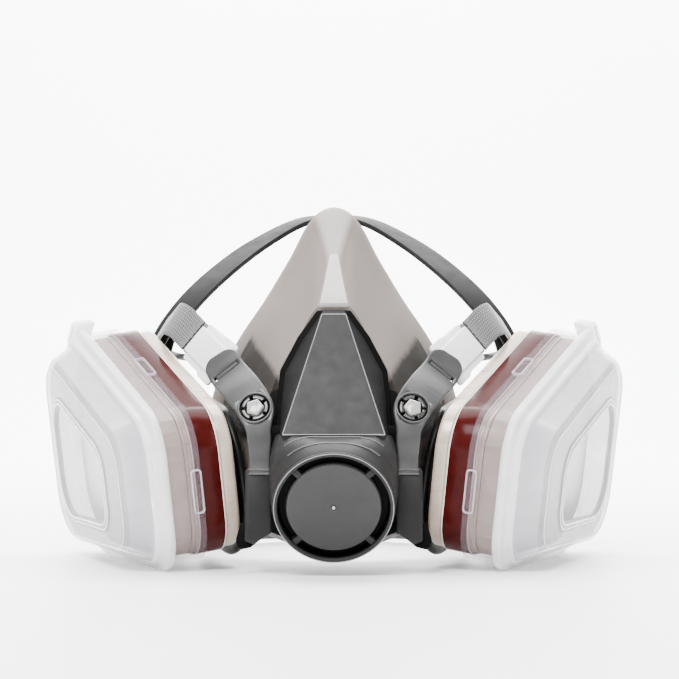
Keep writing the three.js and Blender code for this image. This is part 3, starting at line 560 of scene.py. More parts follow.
def lid_material():
    """The cartridge's lid: a grey louvred face, and side walls in the shell's beige."""
    paint = Painter("cartridge_lid", Roughness=0.4)
    facing = paint.ramp(paint.normal_part("X"), (0.6, 0.0), (0.75, 1.0))
    marks = paint.noise(300, 3)
    wall = paint.ramp(marks, (0.3, (0.33, 0.275, 0.235)), (0.7, (0.38, 0.32, 0.275)))
    face = paint.ramp(marks, (0.3, 0.085), (0.7, 0.105))
    paint.set(paint.shader, Base_Color=paint.mix(facing, wall, face))
    paint.bump((paint.noise(1500, 2), 0.02))
    return paint.material


def carbon_material():
    """Black carbon granules."""
    paint = Painter("carbon_granules", Roughness=0.85)
    grains = paint.cells(900)
    paint.set(paint.shader, Base_Color=paint.ramp(grains, (0.0, 0.045), (0.5, 0.008)))
    paint.bump((grains, 0.5))
    return paint.material


def webbing_material(name, light, dark):
    """Woven elastic webbing: raised yarns catch the light and the gaps between them stay dark."""
    paint = Painter(name, Roughness=0.88, Sheen_Weight=0.5, Sheen_Roughness=0.45)
    twist = paint.noise(2200, 3, 0.6)
    tone = paint.ramp(paint.attribute("yarn"), (0.12, dark), (0.75, light))
    fuzz = paint.ramp(twist, (0.35, 0.0), (0.75, 0.22))
    paint.set(paint.shader, Base_Color=paint.mix(fuzz, tone, grey(1.35, light)))
    paint.bump((twist, 0.06))
    return paint.material


COVER = moulded("cover_grey", grey(0.0115, (1, 1, 1.02)), 0.48, specular=0.15)
# Painted shade: a darker grey for the cover's side facets, where the light falls off.
FACET_SHADE = moulded("facet_grey", grey(0.009, (1, 1, 1.02)), 0.5, specular=0.08)
DISC = moulded("disc_grey", grey(0.019, (1, 1, 1.02)), 0.48, specular=0.22)
YOKE = moulded("yoke_grey", grey(0.033, (1, 1, 1.02)), 0.36, specular=0.35)
# Painted highlights: light beads along the cover's creases, arcs and rim.
CREASE_HIGHLIGHT = moulded("crease_grey", grey(0.13), 0.35)
ARC_HIGHLIGHT = moulded("arc_grey", grey(0.05), 0.35)
# A darker copy of the yoke's grey: painted shade on the side plates and lower arms.
YOKE_SHADOW = moulded("yoke_shadow_grey", grey(0.006), 0.45, specular=0.2)
# Black plastic; also used for dark sheets painted as shade in gaps, slots and the bore.
BLACK = moulded("port_black", grey(0.0008), 0.5, wear_and_edge_highlight=1.2, specular=0.04)
FLANGE = moulded("flange_charcoal", grey(0.0025), 0.36, wear_and_edge_highlight=2.5, specular=0.2)
CRADLE = moulded("cradle_grey", grey(0.0068, (1, 1, 1.03)), 0.5, specular=0.1)
WHITE = moulded("buckle_white", (0.74, 0.74, 0.735), 0.22, wear_and_edge_highlight=1.05, grain=0.006, coat=0.4)
STUD = moulded("stud_silver", (0.26, 0.25, 0.235), 0.25, wear_and_edge_highlight=1.5, coat=0.5)
FINGER = moulded("stud_finger", grey(0.016), 0.3, wear_and_edge_highlight=2.5, coat=0.2)
SILICONE = moulded("valve_silicone", (0.62, 0.60, 0.54), 0.42, wear_and_edge_highlight=1.05)
SEAL = rubber_material("seal_rubber", (0.136, 0.115, 0.104))
NOSE = rubber_material("nose_rubber", (0.40, 0.378, 0.365))
PEARL = pearl_material()
BAND = band_material()
EDGE_LINE = edge_line_material()
DOME = clear_material("retainer_dome", 0.56, (0.32, 0.315, 0.325), 0.24, gloss=0.25)
CLIP = clear_material("retainer_clip", 0.4, (0.62, 0.55, 0.62), 0.24, gloss=0.3)
DOME_SIDE = clear_material("retainer_side", 0.5, (0.47, 0.46, 0.50), 0.24, gloss=0.3)
SKIRT = clear_material("retainer_skirt", 0.22, (0.16, 0.115, 0.13), 0.20, rim=0.1, gloss=0.15)
RIDGE = clear_material("retainer_ridge", 0.55, (0.84, 0.83, 0.87), 0.24)
# Lit and shaded copies of the rim's grey: painted highlight and painted shade lines round the retainer's
# window.
RIM_HIGHLIGHT = moulded("retainer_rim", (0.80, 0.80, 0.82), 0.25, wear_and_edge_highlight=1.05, coat=0.3)
RIM_SHADE = moulded("retainer_rim_shade", (0.24, 0.24, 0.26), 0.35, wear_and_edge_highlight=1.05)
FELT = felt_material()
CARBON = carbon_material()
LID = lid_material()
WEB = webbing_material("grey_webbing", grey(0.18), grey(0.02))

# ---------------------------------------------------------------- face seal

# Right half of each ring, from the nose to the chin; the left half mirrors it.
FRONT_RING = [
    (0, 91.5), (5.4, 91), (12.6, 79.6), (19.3, 67.6), (23.6, 55.5), (26.2, 43),
    (26.6, 29), (24, 16), (16.5, 8), (7.5, 5), (0, 4.6),
]
REAR_RING = [
    (0, 13, 124), (7.6, 14, 120.6), (16.8, 18, 105), (25.6, 23, 90.5), (36, 28.5, 75),
    (44.5, 32, 58), (47.5, 33, 40), (43, 29.5, 22), (30, 20.5, 8.5), (14, 13, 3.6), (0, 11, 2.9),
]
FACEPLATE_THICK = 3
SEAL_THICK, LIP_INSET, SEAL_MIDDLE = 2.4, 9, 50
NOSE_BASE, NOSE_WAIST = 84, 104


def inset_ring(ring, amount, back, middle=52):
    """The ring moved inwards by an amount, and backwards."""
    moved = []
    for p in ring:
        away = math.hypot(p.x, p.z - middle)
        shrink = 1 - amount / max(away, amount * 1.5)
        moved.append(Vector((p.x * shrink, p.y + back, middle + (p.z - middle) * shrink)))
    return moved


def whole_ring(half, count):
    """Points of the closed curve through a half ring and its mirror image."""
    mirror = [Vector((-p.x, p.y, p.z)) for p in half[1:-1]][::-1]
    return [on_curve(half + mirror, i / count, closed=True) for i in range(count)]


def nose_ridge(p):
    """How far the seal's nose stands forward here: a flat ridge with an hourglass outline."""
    if p.z < NOSE_BASE:
        return 0
    flare = 3.6 if p.z < NOSE_WAIST else 5.2
    half = 2.1 + (abs(p.z - NOSE_WAIST) / 18) ** 1.25 * flare
    return 1.5 * max(0, min(1, (half + 1.1 - abs(p.x)) / 2.2)) * min(1, (p.z - NOSE_BASE) / 4)


def make_face_seal():
    count, between_rings = 264, 7
    front = [FRONT @ Vector((x, y, -FACEPLATE_THICK / 2)) for x, y in FRONT_RING]
    rear = [Vector(p) for p in REAR_RING]

    def between(share, bulge):
        ring = []
        for i, p in enumerate(front):
            mid = p.lerp(rear[i], share)
            outward = Vector((mid.x, 0, mid.z - SEAL_MIDDLE)).normalized()
            ring.append(mid + outward * (0 if i < 3 else bulge))
        return ring

    walls = [front, between(0.35, 1), between(0.7, 2)]
    lip_outside = [(1.6, 3.2), (5.5, 3.3), (LIP_INSET + 0.6, 1.6)]
    lip_inside = [(LIP_INSET + 0.4, 0.2), (5.2, 1.0), (SEAL_THICK + 0.8, -0.6)]
    lip = [inset_ring(rear, amount, back) for amount, back in lip_outside + lip_inside]
    cavity = [inset_ring(ring, SEAL_THICK, 0) for ring in walls[::-1]]
    section = [whole_ring(half, count) for half in [*walls, rear, *lip, *cavity]]
    rings = []
    for i in range((len(section) - 1) * between_rings + 1):
        share = i / ((len(section) - 1) * between_rings)
        ring = [on_curve([ring[j] for ring in section], share) for j in range(count)]
        if share < 3.2 / (len(section) - 1):
            ring = [p + Vector((0, -nose_ridge(p), nose_ridge(p) * 0.35)) for p in ring]
        rings.append([p + Vector((0, 0.8 * arm_recess(p), 0)) for p in ring])
    seal = lofted("face_seal", rings, UPRIGHT, SEAL, True, math.radians(60))
    back = (METRES @ STAND).inverted()
    outside = [vertex.normal.dot(vertex.co - Vector((0, 0, 0.055))) > 0 for vertex in seal.data.vertices]
    # The second attribute masks the painted shade beside the yoke's arms.
    for name, measure in (("ridge", lambda p: nose_ridge(p) / 3), ("recess", arm_recess)):
        values = [measure(back @ v.co) if seen else 0 for v, seen in zip(seal.data.vertices, outside)]
        seal.data.attributes.new(name, "FLOAT", "POINT").data.foreach_set("value", values)
    return joined("face_seal", [seal, make_nose_panel()])


def arm_recess(p):
    """1 where the seal is sunk beside the yoke's arm, falling to 0 a little past the arm's inner edge; it
    also masks the painted shade there.
    """
    nearest = 99
    flat = Vector((abs(p.x), p.z))
    for a, b in zip(ARM[3:], ARM[4:]):
        start, end = Vector((a[0][0], a[0][2])), Vector((b[0][0], b[0][2]))
        share = max(0, min(1, (flat - start).dot(end - start) / (end - start).length_squared))
        nearest = min(nearest, (flat - start.lerp(end, share)).length)
    return max(0, min(1, (14.5 - nearest) / 4)) if p.y < 12 else 0


def make_nose_panel():
    """The raised panel on the nose, which widens down to the cover."""
    low, high = Vector((0, -25.9, 89.6)), Vector((0, -6.6, 106.8))
    out = Vector((0, -0.66, 0.75)).normalized()
    rings = []
    for i in range(31):
        t = i / 30
        half = 5.0 - 3.5 * t ** 0.9
        lift = 1.35 if i < 2 else 1.15
        lift *= min(1, 0.35 + i * 0.22, 0.3 + (30 - i) * 0.2)
        centre = low.lerp(high, t) + out * (lift + 0.35)
        right = [(half, -2), (half, -0.35), (half - 0.45, 0)]
        section = [(-a, b) for a, b in right] + right[::-1]
        rings.append([centre + Vector((a, 0, 0)) + out * b for a, b in eased(section, 0.3, 3)])
    return lofted("nose_panel", rings, UPRIGHT, NOSE)


# ---------------------------------------------------------------- front cover

# Half widths of the panel's base, and (height, half width, y) of its face, from top to bottom.
PANEL_BASE = [(4.6, 88.5), (11.4, 79), (17.6, 67), (18.6, 56), (19.2, 44), (20, 34), (19, 24), (14, 14)]
PANEL_TOP, PANEL_BOTTOM = 86.2, 45.2
PANEL_FACE = [(87.6, 3.9, -26.9), (PANEL_TOP, 4.3, -28), (PANEL_BOTTOM, 17.8, -50.5), (33.2, 16.8, -44.5),
              (17, 12.5, -41.4)]
BOSS_BORE = 19.4
DISC_RADIUS = 16.4
HOOD_TOP = 44.7  # height of the flat brow over the round boss


def table_value(table, key, column):
    """Linear interpolation in a table whose first column falls from top to bottom."""
    for a, b in zip(table, table[1:]):
        if key >= b[0]:
            share = min(1, max(0, (a[0] - key) / (a[0] - b[0])))
            return a[column] + (b[column] - a[column]) * share
    return table[-1][column]


def panel_ring(z, grow=0.0):
    """A level section through the cover's faceted panel."""
    base_table = [(h * math.cos(FRONT_LEAN), x) for x, h in PANEL_BASE]
    base_x = table_value(base_table, z, 1) + grow
    base_y = FRONT_FOOT + z * math.tan(FRONT_LEAN) - 0.3
    half, face_y = table_value(PANEL_FACE, z, 1) + grow, table_value(PANEL_FACE, z, 2)
    half = min(half, base_x - 0.2)
    face_y = min(face_y, base_y - 0.8)
    corners = [(-half, face_y), (half, face_y), (base_x, base_y), (-base_x, base_y)]
    outline = rounded_polygon(corners, [0.35, 0.35, 0.3, 0.3], 4, 10)
    return [(p.x, p.y, z) for p in outline]


def panel_levels(count):
    """Heights from the top to the bottom of the panel's flat face."""
    return [PANEL_TOP - (PANEL_TOP - PANEL_BOTTOM) * i / count for i in range(count + 1)]


def make_cover_panel():
    levels = [87.6, 87.3, 86.9, 86.5, *panel_levels(30), 45.0, 44.6]
    levels += [44 - 27 * i / 12 for i in range(13)]
    panel = lofted("cover_panel", [panel_ring(z) for z in levels], UPRIGHT, COVER, smooth=math.radians(24))
    # Faces turned sideways take the darker grey: painted shade on the side facets.
    panel.data.materials.append(FACET_SHADE)
    for face in panel.data.polygons:
        face.material_index = 1 if abs(face.normal.x) > 0.25 else 0
    return panel


def plane_depth(x, y):
    """Depth, along the exhalation port's axis, at which the front plane lies behind a point of the port."""
    start = EXHALE @ Vector((x, y, 0))
    normal = FRONT.to_3x3() @ Vector((0, 0, 1))
    along = EXHALE.to_3x3() @ Vector((0, 0, 1))
    return (0.3 - (start - FRONT.translation).dot(normal)) / along.dot(normal)


def boss_point(radius, depth, a):
    """A point of the boss's skin: round at the rim, and a rounded square with a level top further back."""
    square = 2 + 1.1 * min(1, max(0, (-depth - 4) / 8))
    fit = (abs(math.cos(a)) ** square + abs(math.sin(a)) ** square) ** (-1 / square)
    ceiling = (HOOD_TOP - EXHALE_CENTRE[2] + math.sin(EXHALE_PITCH) * depth) / math.cos(EXHALE_PITCH)
    return radius * math.cos(a) * fit, min(radius * math.sin(a) * fit, ceiling), depth


def make_boss():
    """The round boss: a cone that widens backwards and flattens into a level brow under the panel."""
    outside = [(20.1, 0), (20.5, -0.1), (20.9, -0.5), (21.0, -1.1), (20.9, -1.5), (21.1, -1.9), (21.6, -4.5),
               (21.9, -8), (22.2, -12), (22.5, -15), (22.6, -18), (22.6, -22), (22.6, -30)]
    inside = [(BOSS_BORE, depth) for depth in (-30, -16, -8, -0.5)] + [(BOSS_BORE + 0.2, -0.12)]
    count = 144
    rings = []
    for radius, depth in outside + inside:
        ring = []
        for i in range(count):
            a = 2 * math.pi * i / count
            x, y = radius * math.cos(a), radius * math.sin(a)
            if y > 0 and radius > BOSS_BORE + 0.3:
                x, y, _ = boss_point(radius, depth, a)
            ring.append((x, y, max(depth, plane_depth(x, y))))
        rings.append(ring)
    return lofted("boss", rings, EXHALE, COVER, True, math.radians(30))


def bead(name, path, radius, at, material):
    """A thin round bead along a polyline, used to paint a thin line of light or shade, such as the highlight
    where two moulded faces meet.
    """
    points = [Vector(p) for p in path]
    rings = []
    for i, p in enumerate(points):
        along = (points[min(i + 1, len(points) - 1)] - points[max(i - 1, 0)]).normalized()
        a = along.orthogonal().normalized() if not rings else (a - along * a.dot(along)).normalized()
        b = along.cross(a)
        turns = [2 * math.pi * k / 8 for k in range(8)]
        rings.append([p + (a * math.cos(t) + b * math.sin(t)) * radius for t in turns])
    return lofted(name, rings, at, material)


def make_creases():
    """Painted highlights on the cover's creases: the panel's four edges, two arcs over the boss, and the
    boss's rim.
    """
    face_at = [(table_value(PANEL_FACE, z, 1), table_value(PANEL_FACE, z, 2), z) for z in panel_levels(40)]
    side = [(half - 0.12, y + 0.12, z) for half, y, z in face_at]
    low, high = side[-1], side[0]
    creases = [bead("side", side, 0.2, UPRIGHT, CREASE_HIGHLIGHT)]
    creases.append(mirrored(creases[0], "side_left"))
    for x, y, z in (low, high):
        row = [(x - 2 * x * i / 20, y, z) for i in range(21)]
        creases.append(bead("level", row, 0.2, UPRIGHT, CREASE_HIGHLIGHT))
    for radius, depth in ((21.9, -6.8), (22.2, -11.7)):
        arc = [boss_point(radius - 0.1, depth, math.radians(47 + 86 * i / 60)) for i in range(61)]
        creases.append(bead("arc", arc, 0.25, EXHALE, ARC_HIGHLIGHT))
    rim = lifted(circle(20.6, 96), -0.12)
    creases.append(bead("rim", [*rim, rim[0]], 0.17, EXHALE, CREASE_HIGHLIGHT))
    return creases


def make_bore_shade_liner():
    """A black liner on the wall of the exhalation port's bore: painted shade inside the bore."""
    outer, inner = BOSS_BORE + 0.06, BOSS_BORE - 0.12
    profile = [(outer, -16), (outer, -0.9), (inner, -1.1), (inner, -16)]
    return revolved("bore_liner", profile, EXHALE, BLACK)


def make_front_cover():
    bore = cutter(circle(BOSS_BORE + 0.05, 96), -45, 6, EXHALE)
    panel = carve(make_cover_panel(), [bore])
    return joined("front_cover", [panel, make_boss(), *make_creases()])


def make_cover_shadow_line():
    """A black slab behind the faceplate's edge: painted shade, the thin dark shadow line in the gap all
    round the cover.
    """
    grow = 1.3
    half = [(x + grow, y + grow * 0.5) for x, y in PANEL_BASE]
    corners = [(-x, y) for x, y in half] + half[::-1]
    outline = rounded_polygon(corners, [1, *[4] * 14, 1], 5, 3)
    return slab("cover_trim", outline, -0.6, 0.9, FRONT, BLACK, 0.3)


def make_exhalation_cover():
    """A dimpled disc on four bars inside a ring, with a moulding gate at its centre coloured bright as a
    painted glint; the ring and a ring behind the slots are black as painted shade in the slots.
    """
    disc = [(0.01, -1.15), (0.55, -1.1), (0.9, -0.75), (1.5, -0.62), (3.2, -0.9), (4.2, -0.72), (6, -0.62),
            (15.7, -0.6), (16.15, -0.75), (DISC_RADIUS, -1.2), (DISC_RADIUS, -2.6), (0.01, -2.6)]
    outer, inner = BOSS_BORE - 0.3, BOSS_BORE - 1.9
    ring = eased([(outer, -6.2), (outer, -4), (inner, -4), (inner, -6.2)], 0.3, 3, True)
    gate = [(0.01, -0.95), (0.55, -0.9), (0.5, -0.55), (0.25, -0.4), (0.01, -0.38)]
    shade = [(15.7, -4.6), (BOSS_BORE - 0.6, -4.6), (BOSS_BORE - 0.6, -4.1), (15.7, -4.1)]
    # The black rings paint the shade seen through the slots; the bright gate paints the glint at the disc's
    # centre.
    pieces = [revolved("disc", disc, EXHALE, DISC), revolved("ring", ring, EXHALE, BLACK),
              revolved("gate", gate, EXHALE, STUD, 24), revolved("shade", shade, EXHALE, BLACK)]
    for angle in (45, 135, 225, 315):
        at = EXHALE @ Matrix.Rotation(math.radians(angle), 4, "Z")
        pieces.append(slab("bar", box_outline(4.2, 2.2, 17.3, 0, 0.3), -5.2, -1.0, at, COVER, 0.3))
        pieces.append(slab("rib", box_outline(3.6, 0.7, 17.3, 0, 0.2), -1.2, -0.7, at, COVER, 0.15))
    return joined("exhalation_cover", pieces)


# ---------------------------------------------------------------- harness yoke

# Centres and widths of the two arms, from the front to the back.
ARM = [
    ((25.9, -39.6, 31), 7.2), ((25.9, -38.6, 35), 7.2), ((26.2, -37.8, 44.4), 8.6),
    ((27.6, -34.4, 53.2), 13.4), ((32.4, -27.8, 59.6), 14), ((38, -17.8, 65.2), 13.8),
    ((40.5, -14.4, 69.4), 13), ((41.4, -13.2, 71), 9.6),
]
ARM_THICK = 2.2
BUTTON_STATION, SLOT_STATION = 3, 5
TAB_SLOT = (10.8, 2.6)
BUTTON_HOLE = 5.5
POST = 3.4
LOWER_ARM = [
    ((26.4, -42, 15.4), 10), ((28.6, -37.4, 13.6), 9.6), ((29.3, -31, 12), 9), ((28.9, -24, 10.4), 8.4),
    ((29, -14, 7.6), 6.4), ((31.4, -5, 5.8), 6), ((35.6, 6, 5.4), 6), ((39.8, 17, 6.2), 7.4),
    ((43.8, 27, 8), 11), ((47, 35, 9), 16), ((48.6, 39, 9.2), 16),
]


def arm_side(i, along):
    level = Vector((1, 0, 0)).lerp(Vector((0.81, 0.05, -0.58)), min(1, max(0, (i - 2) / 3)))
    return (level - along * level.dot(along)).normalized()


def arm_frame(i):
    """Frame of one of the arm's stations: x across it, z through it."""
    ahead, behind = (Vector(ARM[k][0]) for k in (min(i + 1, len(ARM) - 1), max(i - 1, 0)))
    along = (ahead - behind).normalized()
    x = arm_side(i, along)
    z = along.cross(x).normalized()
    return basis(x, z.cross(x), z, ARM[i][0])


def soft_section(width, thick, edge=0.7, steps=4):
    """A flat section with rounded edges, as (across, through) pairs."""
    radius = min(edge, thick * 0.45, width * 0.3)
    return [(p.x, p.y) for p in box_outline(width, thick, radius=radius, steps=steps)]


def make_arm():
    """The arm that carries the stud's hole and the buckle's slot, with a rounded end."""
    centres = [Vector(at) for at, _ in ARM]
    count = 84
    last = len(ARM) - 1
    rings = []
    for i in range(count + 1):
        share = 1 - (1 - i / count) ** 1.35
        place = share * last
        k = min(int(place), last - 1)
        centre = on_curve(centres, share)
        along = heading(centres, share, 0.01)
        side = arm_side(place, along)
        face = along.cross(side).normalized()
        blend = place - k
        blend = blend * blend * (3 - 2 * blend)
        width = ARM[k][1] + (ARM[k + 1][1] - ARM[k][1]) * blend
        if share > SLOT_STATION / last:
            left = (centres[-1] - centre).length
            reach = 4.6
            width = 13.8 - 2 * (reach - math.sqrt(max(0, reach ** 2 - max(0, reach - left - 0.12) ** 2)))
        rings.append([centre + side * a + face * b for a, b in soft_section(width, ARM_THICK)])
    arm = lofted("arm", rings, UPRIGHT, YOKE)
    hole = cutter(circle(BUTTON_HOLE), -6, 6, arm_frame(BUTTON_STATION))
    slot = cutter(box_outline(*TAB_SLOT, radius=0.4), -6, 6, arm_frame(SLOT_STATION))
    return carve(arm, [hole, slot])


def front_side(at):
    """+1 if the frame's z axis points out of the front of the mask, otherwise -1."""
    return 1 if (at.to_3x3() @ Vector((0, 0, 1))).y < 0 else -1


def make_arm_trim():
    """Raised bezel round the stud's hole, and the two steps at the arm's foot."""
    at, face = arm_frame(BUTTON_STATION), front_side(arm_frame(BUTTON_STATION))
    flip = Matrix.Identity(4) if face > 0 else Matrix.Rotation(math.pi, 4, "X")
    bezel = eased([(5.35, -1), (5.35, 1.0), (5.6, 1.3), (6.0, 1.25), (6.2, 1.0), (6.2, -1)], 0.2, 3, True)
    pieces = [revolved("bezel", bezel, at @ flip, YOKE)]
    for level, width in ((31.6, 7.4), (30.2, 7.6)):
        outline = box_outline(width, 0.8, 25.9, level / math.cos(FRONT_LEAN), 0.3)
        pieces.append(slab("step", outline, 0.3, 3.4, FRONT, YOKE, 0.25))
    return pieces


def upright_frame(along, origin):
    """A frame beside a path: x as near upright as it can be, z through the strip."""
    x = (Vector((0, 0, 1)) - along * along.z).normalized()
    z = along.cross(x).normalized()
    return basis(x, z.cross(x), z, origin)


def make_lower_arm():
    """The arm that runs back under the cartridge to the neck strap's slot."""
    centres = [Vector(at) for at, _ in LOWER_ARM]
    rings = []
    count = 80
    for i in range(count + 1):
        share = i / count
        place = share * (len(LOWER_ARM) - 1)
        k = min(int(place), len(LOWER_ARM) - 2)
        width = LOWER_ARM[k][1] + (LOWER_ARM[k + 1][1] - LOWER_ARM[k][1]) * (place - k)
        at = upright_frame(heading(centres, share, 0.01), on_curve(centres, share))
        rings.append([at @ Vector((a, 0, b)) for a, b in soft_section(width, 2)])
    arm = lofted("lower_arm", rings, UPRIGHT, YOKE_SHADOW)
    at = upright_frame((centres[-1] - centres[-3]).normalized(), centres[-2])
    return carve(arm, [cutter(box_outline(WEB_WIDTH, 2.6, radius=0.5), -6, 6, at)])


def make_yoke_band():
    """The band behind the front cover, cut open round the exhalation port, in black as painted shade beside
    the cover.
    """
    half = [(15, 8), (21.5, 10.5), (29, 12), (29, 33), (26, 40), (23.8, 48)]
    radii = [2, 1, 1, 1, 3, 1]
    corners = half + [(-x, y) for x, y in half[::-1]]
    outline = rounded_polygon(corners, radii + radii[::-1], 5, 4)
    return carve(slab("band", outline, 0.3, 2.3, FRONT, BLACK), [cutter(circle(15.5, 96), -60, 1, EXHALE)])


def make_yoke_plates():
    """The plate at each side of the boss, a black sheet beside it painted as the shade in the gap by the
    arm, and the dark web below it.
    """
    gap = [(17.6, 34), (27, 34), (28, 44), (26.4, 54.5), (21.6, 60.5), (17.6, 62)]
    corner = [(24, 9.5), (29, 5.6), (33, 4.6), (34.2, 8), (32.5, 14), (24, 14)]
    plate = [(21.5, 10.5), (24, 9), (28, 6.5), (31, 7.5), (31, 33), (22, 33)]
    return [
        slab("gap_fill", rounded_polygon(gap, [0.5] * 6, 3), -0.9, 0.25, FRONT, BLACK, 0.2),
        slab("corner", rounded_polygon(corner, [1, 1, 1.5, 1.5, 1, 1], 4), -2.6, 0.1, FRONT, BLACK, 0.4),
        slab("side_plate", rounded_polygon(plate, [1, 2, 1, 1, 1.5, 1], 6), 0.3, 2.8, FRONT, YOKE_SHADOW, 0.7),
    ]


def make_yoke():
    pieces = [make_yoke_band()]
    for piece in [*make_yoke_plates(), make_arm(), make_lower_arm(), *make_arm_trim()]:
        pieces += [piece, mirrored(piece, piece.name + "_left")]
    return joined("harness_yoke", pieces)


def make_stud():
    """Snap stud: a domed five-sided post inside five springy fingers."""
    at = arm_frame(BUTTON_STATION)
    if front_side(at) < 0:
        at = at @ Matrix.Rotation(math.pi, 4, "X")
    turns = [2 * math.pi * k / 5 + math.pi for k in range(5)][::-1]
    post = rounded_polygon([(POST * math.sin(a), POST * math.cos(a)) for a in turns], [0.6] * 5, 4, 2)
    pieces = [slab("post", post, -2.2, 1.75, at, STUD, 0.7)]
    for k in range(5):
        finger = arc_sector(126 + 72 * k, 27, 3.5, 4.7, 8)
        pieces.append(slab("finger", finger, -1.2, 1.1, at, FINGER, 0.25))
    # A black disc behind the fingers: painted shade inside the stud's hole.
    pieces.append(slab("web", circle(5.2, 48), -1.6, -0.9, at, BLACK, 0.1))
    return joined("retaining_stud_right", pieces)


# ---------------------------------------------------------------- port and cartridge


FLANGE_RADIUS, FLANGE_TOP = 31.5, 26


def make_port():
    """The inhalation port: a tube, a flange cut level at the top, and three bayonet lugs."""
    reach = FLANGE_RADIUS
    profile = [(12.4, -16.6), (17.6, -16.6), (17.6, -15.2), (15.6, -15.2), (15.6, -5.4), (reach - 2.2, -5.4),
               (reach - 0.5, -4.9), (reach, -4.0), (reach, -3.0), (reach - 0.8, -2.2), (reach - 2, -2.0),
               (14.6, -2.0), (14.6, 5.4), (12.4, 5.4)]
    body = revolved("port", eased(profile, 0.8, 4, True), PORT, FLANGE, 120)
    to_port = (METRES @ STAND @ PORT).inverted()
    back = to_port.inverted()
    for vertex in body.data.vertices:
        local = to_port @ vertex.co
        local.y = min(local.y, FLANGE_TOP)
        vertex.co = back @ local
    lugs = []
    for middle in (90, 210, 330):
        lugs.append(slab("lug", arc_sector(middle, 17, 14.0, 17.6, 10), 3.4, 5.4, PORT, FLANGE, 0.3))
    return joined("inhalation_port_right", [body, *lugs])


def cartridge_outline(offset, steps=10, along=10):
    grow = offset * math.hypot(1, EDGE_SLOPE)
    x0, x1 = -offset, LENGTH + offset
    h0, h1 = (FRONT_HEIGHT / 2 + EDGE_SLOPE * x + grow for x in (x0, x1))
    radii = [max(3, r + offset * 0.4) for r in (15, 17, 17, 15)]
    return rounded_polygon([(x0, -h0), (x1, -h1), (x1, h1), (x0, h0)], radii, steps, along)


def cartridge_rings(profile, **detail):
    return [lifted(cartridge_outline(offset, **detail), depth) for offset, depth in profile]


def make_cartridge_body():
    """The shell: a back face with a bayonet socket, rounded shoulders and two shallow grooves."""
    groove = [(0, 4.7), (-0.35, 4.9), (-0.35, 5.3), (0, 5.5)]
    seam = [(0, 16.2), (-0.3, 16.4), (-0.3, 16.8), (0, 17)]
    profile = [(-6, 0), (-0.6, 0), (0, 1.0), *groove, *seam, (0, 18), (-2, 18), (-2, 9), (-6, 9)]
    rings = cartridge_rings(eased(profile, 0.35, 3))
    turns = turn_angles(rings[0])
    socket = []
    for r, z in ((15.3, 9), (15.3, 3.4), (15.3, 0.3), (15.6, 0)):
        round_hole = [Vector((PORT_BACK + r * math.cos(a), -PORT_DROP + r * math.sin(a))) for a in turns]
        socket.append(lifted(round_hole, z))
    back = between_rings(socket[-1], rings[0], 5)
    floor = between_rings(rings[-1], socket[0], 5)
    return lofted("cartridge_body_right", [*rings, *floor, *socket, *back], CARTRIDGE, PEARL, closed=True)


def turn_angles(ring):
    """The direction of each point of a ring from the port's axis."""
    return [math.atan2(p[1] + PORT_DROP, p[0] - PORT_BACK) for p in ring]


def between_rings(a, b, count):
    """Rings between two rings, ends left out."""
    rings = []
    for k in range(1, count):
        rings.append([tuple(u + (v - u) * k / count for u, v in zip(p, q)) for p, q in zip(a, b)])
    return rings


def make_band():
    """The foil band round the cartridge, with a pale line along each edge."""
    ink = eased([(0.3, 5.9), (0.78, 5.9), (0.78, 15.1), (0.3, 15.1)], 0.12, 2, True)
    pieces = [lofted("ink", cartridge_rings(ink), CARTRIDGE, BAND, closed=True)]
    for low, high in ((5.55, 5.9), (15.1, 15.45)):
        line = eased([(0.3, low), (0.82, low), (0.82, high), (0.3, high)], 0.1, 2, True)
        pieces.append(lofted("edge_line", cartridge_rings(line), CARTRIDGE, EDGE_LINE, closed=True))
    return joined("cartridge_label_right", pieces)


def make_prefilter():
    """A pad of felt, pressed thin at its welded rim and soft in the middle."""
    low, high = 26.0, 31.0
    weld = [(-3.4, low + 0.2), (-3.2, low + 1), (-3.3, low + 1.6), (-4.6, low + 2.1), (-5.4, low + 2.2)]
    pad = [(-6.4, high - 1.4), (-8.5, high - 0.6), (-12, high), (-16, high + 0.15), (-20, high + 0.2)]
    rings = cartridge_rings([(-20, low), (-8, low), *weld, *pad], along=16)

    def uneven(x, y, z):
        swell = 0.22 * noise.noise(Vector((x * 0.16, y * 0.16, 3.1))) if z > low + 2 else 0
        return x, y, z + swell

    rings = [[uneven(*point) for point in ring] for ring in rings]
    return lofted("prefilter_right", rings, CARTRIDGE, FELT, smooth=math.radians(60))


# Sections of the retainer, as (distance outside the cartridge's outline, depth).
RETAINER_OUTER = [(2.3, 13.4), (2.2, 24.8), (4, 25.6), (4, 28.4), (1.1, 29.2), (0.9, 31.2), (-0.9, 32),
                  (-3.9, 39.6), (-6.2, 41)]
RETAINER_INNER = [(-6.4, 39.6), (-5, 38.6), (-2.2, 31.6), (-0.6, 30), (1.1, 26.5), (1.1, 13.4)]
SKIRT_TOP, RIDGE_TOP, SIDE_TOP = 25.2, 31.6, 39.5
WINDOW = {"from": 27, "to": 88, "front": 24, "rear": 46, "drop": 2}
CLIP_PLACE, CLIP_DEPTH = 0.46, 15.4


def window_outline(grow, steps=10, along=10):
    w = WINDOW
    half_front, half_rear = w["front"] / 2 + grow, w["rear"] / 2 + grow
    x0, x1, y = w["from"] - grow, w["to"] + grow, -w["drop"]
    corners = [(x0, y - half_front), (x1, y - half_rear), (x1, y + half_rear), (x0, y + half_front)]
    return rounded_polygon(corners, [r + grow * 0.7 for r in (9, 12, 12, 9)], steps, along)


